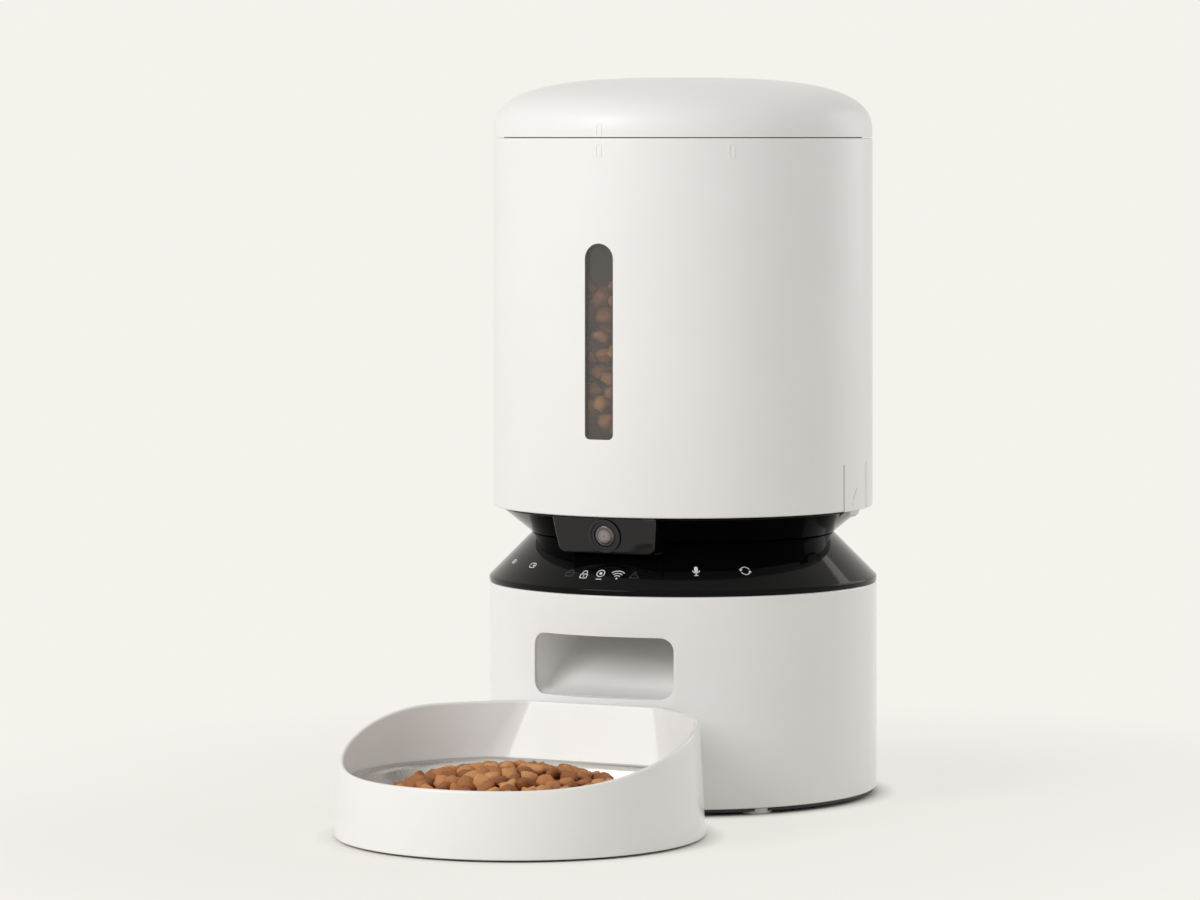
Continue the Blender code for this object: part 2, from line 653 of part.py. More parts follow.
def battery_contact(name, parent, material, wall_y, inward):
    """Spring-steel strip on an end wall of the bay, with one bump for each cell."""
    middle = (PLATE_TOP + BAY_TOP) / 2
    low = middle - CONTACT_HEIGHT / 2
    near = wall_y + inward * CLEARANCE
    far = near + inward * CONTACT_THICKNESS
    strip = prism(rounded_rectangle(CONTACT_HALF_WIDTH, min(near, far), max(near, far), 0),
                  low, low + CONTACT_HEIGHT)
    contact = mesh_object(name, strip, parent, material, smooth=False)
    for index in (-1, 0, 1):
        cone = bmesh.new()
        bmesh.ops.create_cone(cone, cap_ends=True, segments=12, radius1=CONTACT_BUMP_RADIUS,
                              radius2=CONTACT_BUMP_RADIUS / 3, depth=CONTACT_BUMP)
        turn = Matrix.Rotation(math.radians(-90 * inward), 4, "X")
        place = Matrix.Translation((index * CELL_PITCH, near + inward * CONTACT_BUMP / 2, middle))
        combine(contact, f"{name}_bump_{index + 2}", moved(cone, place @ turn), "UNION")
    return contact


def main_board(parent, material):
    """Circuit board on the posts over the battery bay."""
    low = BAY_TOP + POST_HEIGHT + CLEARANCE
    top = low + MAIN_BOARD_THICKNESS
    outline = rounded_rectangle(BAY_HALF_WIDTH, BAY_FRONT, BAY_BACK, BAY_CORNER / 2)
    board = mesh_object("main_board", prism(outline, low, top), parent, material)
    middle = (BAY_FRONT + BAY_BACK) / 2
    for index, x in enumerate((-BAY_HALF_WIDTH / 2, BAY_HALF_WIDTH / 2)):
        chip = [(x + sx * CHIP_HALF, middle + sy * CHIP_HALF)
                for sx, sy in ((-1, -1), (1, -1), (1, 1), (-1, 1))]
        combine(board, f"chip_{index + 1}", prism(chip, top - MAIN_BOARD_THICKNESS / 2,
                                                  top + CHIP_HEIGHT), "UNION")
    return board


def speaker(parent, material):
    """Loudspeaker that faces down over the slots of the base plate."""
    low = PLATE_TOP + CLEARANCE
    rim = low + SPEAKER_HEIGHT / 4
    profile = [(0, low), (SPEAKER_RADIUS, low), (SPEAKER_RADIUS, rim),
               (SPEAKER_MAGNET_RADIUS, low + SPEAKER_HEIGHT / 2),
               (SPEAKER_MAGNET_RADIUS, low + SPEAKER_HEIGHT), (0, low + SPEAKER_HEIGHT)]
    body = mesh_object("speaker", turned(profile, SMALL_STEPS), parent, material)
    body.location = (SPEAKER_X, SPEAKER_Y, 0)
    return body


def dc_inlet(parent, material):
    """Barrel power socket in the back wall, with its centre pin."""
    seat = BASE_INNER * math.cos(math.pi / ROUND_STEPS)
    seat -= seat - math.sqrt(seat ** 2 - INLET_FLANGE_RADIUS ** 2) + CLEARANCE
    face = BASE_RADIUS - INLET_RECESS
    back = seat - INLET_LENGTH
    bottom = face - INLET_BORE_DEPTH
    tip = face - INLET_RECESS
    profile = [(0, back), (INLET_FLANGE_RADIUS, back), (INLET_FLANGE_RADIUS, seat),
               (INLET_NOSE_RADIUS, seat), (INLET_NOSE_RADIUS, face), (INLET_BORE_RADIUS, face),
               (INLET_BORE_RADIUS, bottom), (INLET_PIN_RADIUS, bottom), (INLET_PIN_RADIUS, tip),
               (0, tip)]
    body = along_y(turned(profile, SMALL_STEPS), INLET_HEIGHT)
    return mesh_object("dc_inlet", body, parent, material)


def control_panel(parent, material):
    """Glossy black cone under the waist, with the camera's notch at the front."""
    rim = PANEL_BOTTOM + PANEL_RIM_DEPTH
    profile = fillet([
        (BASE_RADIUS, PANEL_BOTTOM), (BASE_RADIUS, rim, PANEL_RIM_ROUND),
        (WAIST_RADIUS, WAIST_TOP), (WAIST_RADIUS - PANEL_WALL, WAIST_TOP),
        (BASE_RADIUS - PANEL_WALL, rim), (BASE_RADIUS - PANEL_WALL, PANEL_BOTTOM)])
    panel = mesh_object("control_panel", turned(profile), parent, material)
    combine(panel, "panel_notch", camera_block(CLEARANCE, OVERRUN))
    return panel


def neck_collar(parent, material):
    """Flaring black collar that carries the hopper, with its deck and the tab catches."""
    slope = (COLLAR_RADIUS - WAIST_RADIUS) / COLLAR_HEIGHT
    waist_inner = WAIST_RADIUS - PANEL_WALL
    deck_inner = waist_inner + slope * (DECK_BOTTOM - COLLAR_BOTTOM)
    rim_inner = COLLAR_RADIUS - COLLAR_RIM_WIDTH
    deck_edge = WELL_OUTER + CLEARANCE
    profile = fillet([
        (WAIST_RADIUS, COLLAR_BOTTOM), (COLLAR_RADIUS, COLLAR_TOP, COLLAR_EDGE),
        (rim_inner, COLLAR_TOP), (rim_inner, DECK_TOP), (deck_edge, DECK_TOP),
        (deck_edge, DECK_BOTTOM), (deck_inner, DECK_BOTTOM), (waist_inner, COLLAR_BOTTOM)])
    collar = mesh_object("neck_collar", turned(profile), parent, material)
    for side in (-1, 1):
        root = COLLAR_RADIUS - COLLAR_RIM_WIDTH / 2
        wedge = [(root, COLLAR_TOP - CATCH_HEIGHT), (COLLAR_RADIUS, COLLAR_TOP - CATCH_HEIGHT),
                 (COLLAR_RADIUS + CATCH_REACH, COLLAR_TOP - CATCH_HEIGHT / 2),
                 (COLLAR_RADIUS + CATCH_REACH, COLLAR_TOP), (root, COLLAR_TOP)]
        outline = [(side * x, z) for x, z in wedge]
        catch = upright(prism(outline, -CATCH_WIDTH / 2, CATCH_WIDTH / 2))
        combine(collar, f"tab_catch_{'left' if side < 0 else 'right'}", catch, "UNION")
    combine(collar, "collar_notch", camera_block(CLEARANCE, OVERRUN))
    return collar


def neck_well(parent, material):
    """Cup in the deck that takes the dosing chamber, with the outlet and the shaft's hole."""
    profile = [(0, NECK_FLOOR_BOTTOM), (WELL_OUTER, NECK_FLOOR_BOTTOM), (WELL_OUTER, DECK_TOP),
               (WELL_INNER, DECK_TOP), (WELL_INNER, NECK_FLOOR_TOP), (0, NECK_FLOOR_TOP)]
    well = mesh_object("neck_well", turned(profile), parent, material)
    low, high = NECK_FLOOR_BOTTOM - OVERRUN, NECK_FLOOR_TOP + OVERRUN
    outlet = rounded_rectangle(OUTLET_HALF_WIDTH, -OUTLET_FAR, -OUTLET_NEAR, OUTLET_CORNER)
    combine(well, "outlet_cut", prism(outlet, low, high))
    combine(well, "shaft_hole", prism(circle(SHAFT_HEAD_RADIUS + CLEARANCE), low, high))
    return well


def camera_block(spare=0.0, overrun=0.0):
    """The camera housing's outer form: a block with a leaning front and two round corners."""
    top = COLLAR_TOP + overrun
    low = CAMERA_BOTTOM - spare
    flare = (CAMERA_TOP_HALF - CAMERA_BOTTOM_HALF) / CAMERA_HEIGHT
    top_half = CAMERA_TOP_HALF + spare + flare * overrun
    low_half = CAMERA_BOTTOM_HALF + spare
    outline = fillet([(-low_half, low, CAMERA_CORNER), (low_half, low, CAMERA_CORNER),
                      (top_half, top), (-top_half, top)], 4)
    lean = math.tan(CAMERA_TILT)
    front = [(x, -(CAMERA_REACH - (COLLAR_TOP - z) * lean + overrun), z) for x, z in outline]
    back = [(x, -CAMERA_BACK + spare, z) for x, z in outline]
    return stitched([front, back])


def camera_frame():
    """The place of the lens on the leaning front; local Z points out of it."""
    turn = Matrix.Rotation(math.radians(90) + CAMERA_TILT, 4, "X")
    return Matrix.Translation((0, LENS_Y, LENS_Z)) @ turn


def camera_housing(parent, material):
    """Glossy black camera block with the barrel bore and the pocket for its board."""
    housing = mesh_object("camera_housing", camera_block(), parent, material)
    round_edges(housing, CAMERA_EDGE)
    bore = prism(circle(BEZEL_BARREL_RADIUS + CLEARANCE), -(BEZEL_LENGTH + OVERRUN), OVERRUN)
    combine(housing, "barrel_bore", moved(bore, camera_frame()))
    shelf_x = BOARD_HALF_WIDTH - BOARD_SHELF
    shelf_z = BOARD_HALF_HEIGHT - BOARD_SHELF
    deep = rounded_rectangle(shelf_x, CAMERA_MIDDLE - shelf_z, CAMERA_MIDDLE + shelf_z, 0)
    combine(housing, "deep_pocket",
            upright(prism(deep, CAMERA_BACK - OVERRUN, CAMERA_BACK + CAMERA_POCKET)))
    seat_x = BOARD_HALF_WIDTH + CLEARANCE
    seat_z = BOARD_HALF_HEIGHT + CLEARANCE
    seat = rounded_rectangle(seat_x, CAMERA_MIDDLE - seat_z, CAMERA_MIDDLE + seat_z, 0)
    combine(housing, "board_seat",
            upright(prism(seat, CAMERA_BACK - OVERRUN, BOARD_FACE + CLEARANCE)))
    return housing


def camera_bezel(parent, material):
    """Ring round the lens with the barrel behind it."""
    face = CLEARANCE + BEZEL_PROUD
    seat = face - LENS_INSET - LENS_THICKNESS - CLEARANCE
    profile = fillet([
        (BEZEL_RADIUS, CLEARANCE), (BEZEL_RADIUS, face, BEZEL_PROUD / 2),
        (LENS_RADIUS + CLEARANCE, face), (LENS_RADIUS + CLEARANCE, seat), (APERTURE_RADIUS, seat),
        (APERTURE_RADIUS, -BEZEL_LENGTH), (BEZEL_BARREL_RADIUS, -BEZEL_LENGTH),
        (BEZEL_BARREL_RADIUS, CLEARANCE)])
    return mesh_object("camera_bezel", moved(turned(profile, 24), camera_frame()), parent, material)


def camera_lens(parent, material):
    """Domed front glass on the bezel's seat."""
    top = CLEARANCE + BEZEL_PROUD - LENS_INSET
    low = top - LENS_THICKNESS
    ring = LENS_RADIUS * LENS_RING_SHARE
    ring_rise = LENS_BULGE * (1 - LENS_RING_SHARE ** 2)
    profile = [(0, low), (LENS_RADIUS, low), (LENS_RADIUS, top),
               (ring, top + ring_rise), (0, top + LENS_BULGE)]
    return mesh_object("camera_lens", moved(turned(profile, 20), camera_frame()), parent, material)


def camera_board(parent, material):
    """Camera's circuit board with the image sensor behind the barrel."""
    outline = rounded_rectangle(BOARD_HALF_WIDTH, CAMERA_MIDDLE - BOARD_HALF_HEIGHT,
                                CAMERA_MIDDLE + BOARD_HALF_HEIGHT, 0)
    board = mesh_object("camera_board", upright(prism(outline, BOARD_REAR, BOARD_FACE)),
                        parent, material, smooth=False)
    sensor = rounded_rectangle(SENSOR_HALF, CAMERA_MIDDLE - SENSOR_HALF,
                               CAMERA_MIDDLE + SENSOR_HALF, 0)
    combine(board, "sensor_block", upright(prism(sensor, BOARD_FACE - BOARD_THICKNESS / 2,
                                                 BOARD_FACE + SENSOR_DEPTH)), "UNION")
    return board


def microphone(parent, material):
    """Microphone capsule on the camera's board."""
    front = BOARD_FACE + CLEARANCE
    outline = circle(MICROPHONE_RADIUS, 14, (MICROPHONE_OFFSET, CAMERA_MIDDLE))
    capsule = upright(prism(outline, front, front + MICROPHONE_DEPTH))
    return mesh_object("microphone", capsule, parent, material)


def bend(start, end, shares, t):
    """A point of the smooth run from a place in the drop to a place in the throat."""
    (y0, z0), (y3, z3) = start, end
    controls = [(y0, z0)]
    controls += [(y0 + run * (y3 - y0), z0 + drop * (z3 - z0)) for drop, run in shares]
    controls.append((y3, z3))
    weights = ((1 - t) ** 3, 3 * t * (1 - t) ** 2, 3 * t * t * (1 - t), t ** 3)
    return (sum(w * c[0] for w, c in zip(weights, controls)),
            sum(w * c[1] for w, c in zip(weights, controls)))


def chute_sections(inset):
    """Rectangular sections from the deck to the throat, drawn in by the wall for the inside."""
    rear = -(OUTLET_NEAR - CHUTE_SPARE - CHUTE_WALL)
    front = -(OUTLET_FAR + CHUTE_SPARE + CHUTE_WALL)
    bend_top = CHUTE_TOP - CHUTE_DROP
    floor = OPENING_BOTTOM + CLEARANCE
    roof = OPENING_BOTTOM + OPENING_HEIGHT - CLEARANCE
    top_half = OUTLET_HALF_WIDTH + CHUTE_SPARE + CHUTE_WALL
    end_half = OPENING_HALF_WIDTH - CLEARANCE
    sections = [((rear, CHUTE_TOP), (front, CHUTE_TOP), top_half)]
    for step in range(CHUTE_STEPS + 1):
        t = step / CHUTE_STEPS
        low = bend((rear, bend_top), (THROAT_Y, floor), CHUTE_FLOOR_SHARES, t)
        high = bend((front, bend_top), (THROAT_Y, roof), CHUTE_ROOF_SHARES, t)
        widening = t * t * (3 - 2 * t)
        sections.append((low, high, top_half + (end_half - top_half) * widening))
    loops = []
    for low, high, half in sections:
        low, high = Vector(low), Vector(high)
        across = (high - low).length
        along = (high - low).normalized()
        outline = rounded_rectangle(half - inset, inset, across - inset,
                                    OPENING_CORNER - inset, 3)
        loops.append([(x, (low + along * v).x, (low + along * v).y) for x, v in outline])
    mouth = rounded_rectangle(end_half - inset, floor + inset, roof - inset,
                              OPENING_CORNER - inset, 3)
    reach = BASE_RADIUS - CHUTE_RECESS
    loops.append([(x, -math.sqrt(reach ** 2 - x ** 2), z) for x, z in mouth])
    return loops


def food_chute(parent, material):
    """White chute that turns the falling food out of the front opening."""
    outside = chute_sections(0.0)
    inside = chute_sections(CHUTE_WALL)
    skin = stitched(outside + list(reversed(inside)), close_ends=False)
    return mesh_object("food_chute", skin, parent, material)


def gear_outline(teeth, pitch, backlash):
    """Outline of a spur gear with straight-sided teeth; the first tooth points to +X."""
    tip, root = pitch + DRIVE_MODULE * ADDENDUM_SHARE, pitch - DRIVE_MODULE * DEDENDUM_SHARE
    flanks = ((root, -TOOTH_ROOT_SHARE), (tip, -TOOTH_TIP_SHARE),
              (tip, TOOTH_TIP_SHARE), (root, TOOTH_ROOT_SHARE))
    tooth = math.tau / teeth
    thin = backlash / pitch
    points = []
    for index in range(teeth):
        middle = index * tooth
        for radius, share in flanks:
            angle = middle + share * tooth - math.copysign(thin, share)
            points.append((radius * math.cos(angle), radius * math.sin(angle)))
    return points


def gearbox_case(parent, material):
    """Open-topped gear case under the deck."""
    reach = DRIVE_PITCH + DRIVE_MODULE + GEARBOX_ROOM
    far = MOTOR_Y + PINION_PITCH + DRIVE_MODULE + GEARBOX_ROOM
    outer = rounded_rectangle(reach + GEARBOX_WALL, -(reach + GEARBOX_WALL), far + GEARBOX_WALL,
                              GEARBOX_CORNER + GEARBOX_WALL)
    inner = rounded_rectangle(reach, -reach, far, GEARBOX_CORNER)
    case = mesh_object("gearbox_case", prism(outer, GEARBOX_BOTTOM, GEARBOX_TOP), parent, material)
    combine(case, "case_hollow", prism(inner, GEARBOX_FLOOR, GEARBOX_TOP + OVERRUN))
    boss = prism(circle(SHAFT_RADIUS * 2, 16), GEARBOX_FLOOR - GEARBOX_WALL / 2,
                 GEARBOX_FLOOR + GEAR_BOSS_HEIGHT)
    combine(case, "shaft_boss", boss, "UNION")
    bore = prism(circle(SHAFT_RADIUS + CLEARANCE), GEARBOX_FLOOR, GEARBOX_TOP)
    combine(case, "boss_bore", bore)
    hole = circle(MOTOR_SHAFT_RADIUS + 2 * CLEARANCE, 12, (0, MOTOR_Y))
    combine(case, "motor_hole", prism(hole, GEARBOX_BOTTOM - OVERRUN, GEARBOX_TOP))
    return case


def drive_motor(parent, material):
    """Round motor can under the gear case, bored for its shaft."""
    top = GEARBOX_BOTTOM - CLEARANCE
    hole = MOTOR_SHAFT_RADIUS + CLEARANCE
    floor = top - MOTOR_SHAFT_LENGTH
    low = top - MOTOR_LENGTH
    profile = fillet([
        (0, low), (MOTOR_RADIUS, low, MOTOR_EDGE), (MOTOR_RADIUS, top, MOTOR_EDGE), (hole, top),
        (hole, floor), (0, floor)])
    motor = mesh_object("drive_motor", turned(profile, 24), parent, material)
    motor.location = (0, MOTOR_Y, 0)
    return motor


def motor_pinion(parent, material):
    """Small gear on the motor's shaft; one tooth points at the large gear's gap."""
    outline = gear_outline(PINION_TEETH, PINION_PITCH, GEAR_BACKLASH / 2)
    quarter = math.radians(-90)
    turned_outline = [(x * math.cos(quarter) - y * math.sin(quarter),
                       x * math.sin(quarter) + y * math.cos(quarter)) for x, y in outline]
    pinion = mesh_object("motor_pinion", prism(turned_outline, GEAR_BOTTOM, GEAR_TOP),
                         parent, material)
    low = GEARBOX_BOTTOM - MOTOR_SHAFT_LENGTH
    shaft = prism(circle(MOTOR_SHAFT_RADIUS, 12), low, (GEAR_BOTTOM + GEAR_TOP) / 2)
    combine(pinion, "pinion_shaft", shaft, "UNION")
    return pinion


def drive_gear(parent, material):
    """Large gear on the output shaft, with a gap facing the pinion."""
    outline = gear_outline(DRIVE_TEETH, DRIVE_PITCH, GEAR_BACKLASH / 2)
    phase = math.pi / DRIVE_TEETH
    turned_outline = [(x * math.cos(phase) - y * math.sin(phase),
                       x * math.sin(phase) + y * math.cos(phase)) for x, y in outline]
    gear = mesh_object("drive_gear", prism(turned_outline, GEAR_BOTTOM, GEAR_TOP), parent, material)
    bore = prism(circle(SHAFT_RADIUS + CLEARANCE), GEAR_BOTTOM - OVERRUN, GEAR_TOP + OVERRUN)
    combine(gear, "gear_bore", bore)
    return gear


def drive_shaft(parent, material):
    """Output shaft with a round head in the deck and a six-sided drive for the rotor."""
    low = GEARBOX_FLOOR + CLEARANCE
    shoulder = GEAR_TOP + CLEARANCE
    profile = [(0, low), (SHAFT_RADIUS, low), (SHAFT_RADIUS, shoulder),
               (SHAFT_HEAD_RADIUS, shoulder), (SHAFT_HEAD_RADIUS, HEX_BOTTOM), (0, HEX_BOTTOM)]
    shaft = mesh_object("drive_shaft", turned(profile, SMALL_STEPS), parent, material)
    drive = prism(circle(HEX_RADIUS, 6), HEX_BOTTOM - OVERRUN, HEX_TOP)
    combine(shaft, "hex_drive", drive, "UNION")
    return shaft


def hopper_shell(parent, material):
    """White hopper wall with the window slot and the two tab slots."""
    flange_top = HOPPER_BOTTOM + HOPPER_FLANGE_THICKNESS
    flange_inner = CHAMBER_OUTER + 2 * CLEARANCE
    profile = fillet([
        (HOPPER_RADIUS, HOPPER_BOTTOM, HOPPER_EDGE), (HOPPER_RADIUS, HOPPER_TOP, HOPPER_EDGE),
        (HOPPER_INNER, HOPPER_TOP), (HOPPER_INNER, flange_top), (flange_inner, flange_top),
        (flange_inner, HOPPER_BOTTOM)])
    shell = mesh_object("hopper_shell", turned(profile), parent, material)
    slot = upright(prism(window_outline(0.0), HOPPER_INNER - OVERRUN, HOPPER_RADIUS + OVERRUN))
    combine(shell, "window_slot", slot)
    half = TAB_WIDTH / 2 + TAB_SLIT
    for side in (-1, 1):
        near, far = HOPPER_INNER - TAB_RELIEF, HOPPER_RADIUS + OVERRUN
        box = [(side * near, -half), (side * far, -half), (side * far, half), (side * near, half)]
        combine(shell, f"tab_slot_{'left' if side < 0 else 'right'}",
                prism(box, HOPPER_BOTTOM - OVERRUN, TAB_HINGE))
    return shell


def window_outline(inset):
    """Tall window with a full round top and small round lower corners."""
    half = WINDOW_WIDTH / 2 - inset
    low = HOPPER_BOTTOM + WINDOW_BOTTOM + inset
    high = HOPPER_BOTTOM + WINDOW_BOTTOM + WINDOW_HEIGHT - inset
    corner = WINDOW_CORNER - inset
    arc = [(half * math.cos(math.pi * i / 12), high - half + half * math.sin(math.pi * i / 12))
           for i in range(13)]
    base = fillet([(half, high - half), (-half, high - half), (-half, low, corner),
                   (half, low, corner)])
    return arc + base[2:]


def hopper_window(parent, material):
    """Smoky pane in the window slot."""
    half_angle = math.asin(WINDOW_WIDTH / HOPPER_RADIUS)
    outer = HOPPER_RADIUS - WINDOW_RECESS
    pane_ring = ring_sector(HOPPER_INNER, outer, half_angle, math.radians(-90), 12)
    low = HOPPER_BOTTOM + WINDOW_BOTTOM - OVERRUN
    high = HOPPER_BOTTOM + WINDOW_BOTTOM + WINDOW_HEIGHT + OVERRUN
    pane = mesh_object("hopper_window", prism(pane_ring, low, high), parent, material)
    outline = window_outline(CLEARANCE)
    combine(pane, "pane_outline",
            upright(prism(outline, HOPPER_INNER - OVERRUN, HOPPER_RADIUS + OVERRUN)),
            "INTERSECT")
    return pane


def release_tab(name, parent, material, side):
    """Springy finger of the hopper wall over a catch; it bends about its top edge."""
    reach = side * (HOPPER_RADIUS - HOPPER_WALL / 2)
    half_angle = math.asin(TAB_WIDTH / 2 / HOPPER_RADIUS)
    middle = 0.0 if side > 0 else math.pi
    outline = ring_sector(HOPPER_INNER, HOPPER_RADIUS, half_angle, middle)
    body = prism(outline, HOPPER_BOTTOM, TAB_HINGE - CLEARANCE)
    hinge = axis_empty(f"{name}_hinge", parent, (reach, 0, TAB_HINGE))
    return mesh_object(name, moved(body, Matrix.Translation((-reach, 0, -TAB_HINGE))),
                       hinge, material)


def dosing_chamber(parent, material):
    """Round chamber under the funnel, with its floor, the outlet and the ledge for the shield."""
    hub_hole = HUB_NECK_RADIUS + CLEARANCE
    profile = [(hub_hole, FUNNEL_BOTTOM), (CHAMBER_OUTER, FUNNEL_BOTTOM),
               (CHAMBER_OUTER, FUNNEL_SHOULDER), (SHOULDER_RADIUS, FUNNEL_SHOULDER),
               (SHOULDER_RADIUS, LEDGE_TOP), (CHAMBER_RADIUS, LEDGE_TOP),
               (CHAMBER_RADIUS, CHAMBER_FLOOR), (hub_hole, CHAMBER_FLOOR)]
    chamber = mesh_object("dosing_chamber", turned(profile), parent, material)
    outlet = rounded_rectangle(OUTLET_HALF_WIDTH, -OUTLET_FAR, -OUTLET_NEAR, OUTLET_CORNER)
    combine(chamber, "chamber_outlet",
            prism(outlet, FUNNEL_BOTTOM - OVERRUN, CHAMBER_FLOOR + OVERRUN))
    return chamber


def hopper_funnel(parent, material):
    """Sloping floor of the hopper; its rim stays under the window."""
    ledge = CHAMBER_RADIUS + LEDGE_WIDTH
    rim = HOPPER_INNER - CLEARANCE
    low = LEDGE_TOP + CLEARANCE
    rim_top = LEDGE_TOP + FUNNEL_HEIGHT
    profile = [(ledge, low), (SHOULDER_RADIUS, low), (rim, rim_top - FUNNEL_WALL),
               (rim, rim_top), (rim - FUNNEL_WALL, rim_top)]
    return mesh_object("hopper_funnel", turned(profile), parent, material)


def dosing_shield(parent, material):
    """Plate over the outlet, on the chamber's ledge, that keeps food from falling straight in."""
    outer = (CHAMBER_RADIUS + LEDGE_WIDTH) * SAG - CLEARANCE
    low = LEDGE_TOP + CLEARANCE
    outline = ring_sector(SHIELD_INNER, outer, SHIELD_HALF_ANGLE, math.radians(-90), 14)
    return mesh_object("dosing_shield", prism(outline, low, low + SHIELD_THICKNESS),
                       parent, material)


def rotor_hub(parent, material):
    """Rotor hub with its neck through the chamber floor and the six-sided socket."""
    flange_top = HUB_BOTTOM + HUB_FLANGE_HEIGHT
    profile = [(0, FUNNEL_BOTTOM), (HUB_NECK_RADIUS, FUNNEL_BOTTOM), (HUB_NECK_RADIUS, HUB_BOTTOM),
               (HUB_FLANGE_RADIUS, HUB_BOTTOM), (HUB_FLANGE_RADIUS, flange_top),
               (HUB_RADIUS, flange_top), (HUB_RADIUS, HUB_TOP), (0, HUB_TOP)]
    hub = mesh_object("rotor_hub", turned(profile, 24), parent, material)
    socket = prism(circle(HEX_RADIUS + HEX_CLEARANCE, 6), FUNNEL_BOTTOM - OVERRUN,
                   HEX_TOP + HEX_CLEARANCE)
    combine(hub, "hex_socket", socket)
    return hub


def rotor_vanes(parent, material):
    """Soft vanes on one sleeve round the hub; each gap between them is a portion."""
    sleeve = HUB_RADIUS + CLEARANCE + VANE_SLEEVE
    tip = CHAMBER_RADIUS * SAG - VANE_TIP_GAP
    half = VANE_THICKNESS / 2
    pitch = math.tau / VANE_COUNT
    outline = []
    for index in range(VANE_COUNT):
        middle = (index + 0.5) * pitch
        for radius, sign in ((sleeve, -1), (tip, -1), (tip, 1), (sleeve, 1)):
            angle = middle + sign * math.asin(half / radius)
            outline.append((radius * math.cos(angle), radius * math.sin(angle)))
        for step in (1, 2, 3):
            angle = middle + pitch * step / 4
            outline.append((sleeve * math.cos(angle), sleeve * math.sin(angle)))
    low = HUB_BOTTOM + HUB_FLANGE_HEIGHT + CLEARANCE
    vanes = mesh_object("rotor_vanes", prism(outline, low, HUB_TOP), parent, material)
    bore = prism(circle(HUB_RADIUS + CLEARANCE, 24), low - OVERRUN, HUB_TOP + OVERRUN)
    combine(vanes, "sleeve_bore", bore)
    return vanes


def stirrer(parent, material):
    """Cone on the hub with one finger that keeps the food from bridging."""
    low = HUB_TOP + CLEARANCE
    top = low + STIRRER_HEIGHT
    profile = fillet([(0, low), (STIRRER_RADIUS, low), (STIRRER_RADIUS, low + STIRRER_HEIGHT / 5),
                      (STIRRER_TIP_RADIUS, top, STIRRER_TIP_RADIUS / 2), (0, top)])
    cone = mesh_object("stirrer", turned(profile, 24), parent, material)
    bar = rounded_rectangle(FINGER_WIDTH / 2, 0.0, FINGER_REACH, FINGER_WIDTH / 3)
    finger = prism(bar, low + FINGER_RISE, low + FINGER_RISE + FINGER_THICKNESS)
    combine(cone, "stirrer_finger", finger, "UNION")
    return cone


def crown(radius, height, bottom, steps):
    """Quarter of a superellipse from the rim of the lid to its top."""
    points = []
    for step in range(steps + 1):
        turn = math.pi / 2 * step / steps
        across = radius * max(0.0, math.cos(turn)) ** (2 / LID_CROWN_POWER)
        up = height * math.sin(turn) ** (2 / LID_CROWN_POWER)
        points.append((0.0 if step == steps else across, bottom + up))
    return points


def lid_dome(parent, material):
    """Domed white lid with the shoulder that presses on its liner."""
    outer = crown(HOPPER_RADIUS, LID_HEIGHT, LID_BOTTOM, LID_CROWN_STEPS)
    seat = HOPPER_INNER - LID_SHOULDER_WIDTH
    inner = crown(seat, LID_TOP - LID_WALL - SHOULDER_TOP, SHOULDER_TOP, LID_INNER_STEPS)
    profile = outer + list(reversed(inner)) + [(HOPPER_INNER, SHOULDER_TOP),
                                               (HOPPER_INNER, LID_BOTTOM)]
    return mesh_object("lid_dome", turned(profile), parent, material)


def lid_liner(parent, material):
    """Inner lid that plugs the hopper, with the bead for its seal and the drying pocket."""
    flange = HOPPER_INNER * SAG - CLEARANCE
    bead = LINER_SKIRT_RADIUS + LINER_BEAD
    skirt_inner = LINER_SKIRT_RADIUS - LINER_SKIRT_WALL
    pocket_inner = POCKET_RADIUS - POCKET_WALL
    profile = [(0, LINER_TOP), (flange, LINER_TOP), (flange, LINER_BOTTOM),
               (LINER_SKIRT_RADIUS, LINER_BOTTOM), (LINER_SKIRT_RADIUS, BEAD_TOP),
               (bead, BEAD_TOP), (bead, SKIRT_BOTTOM), (skirt_inner, SKIRT_BOTTOM),
               (skirt_inner, LINER_BOTTOM), (POCKET_RADIUS, LINER_BOTTOM),
               (POCKET_RADIUS, POCKET_BOTTOM), (pocket_inner, POCKET_BOTTOM),
               (pocket_inner, LINER_BOTTOM), (0, LINER_BOTTOM)]
    return mesh_object("lid_liner", turned(profile), parent, material)


def lid_seal(parent, material):
    """Soft ring between the liner's skirt and the hopper wall, grooved round its outside."""
    low = BEAD_TOP + CLEARANCE
    top = low + SEAL_HEIGHT
    inner = LINER_SKIRT_RADIUS + SEAL_GAP
    outer = HOPPER_INNER * SAG - SEAL_GAP
    middle = (low + top) / 2
    profile = [(inner, low), (outer, low), (outer - SEAL_GROOVE, middle), (outer, top),
               (inner, top)]
    return mesh_object("lid_seal", turned(profile), parent, material)


def desiccant_cap(parent, material):
    """Vented cap that turns on over the drying pocket."""
    face = POCKET_BOTTOM - CLEARANCE
    low = face - CAP_THICKNESS
    inside = POCKET_RADIUS + SEAL_GAP
    outside = inside + CAP_WALL
    profile = [(0, low), (outside, low), (outside, face + CAP_SKIRT), (inside, face + CAP_SKIRT),
               (inside, face), (0, face)]
    cap = mesh_object("desiccant_cap", turned(profile, 32), parent, material)
    for index in range(VENT_COUNT):
        vent = prism(rounded_rectangle(VENT_WIDTH / 2, VENT_INNER, VENT_INNER + VENT_LENGTH, 0),
                     low - OVERRUN, face + OVERRUN)
        spin = Matrix.Rotation(index * math.tau / VENT_COUNT, 4, "Z")
        combine(cap, f"vent_{index + 1}", moved(vent, spin))
    return cap


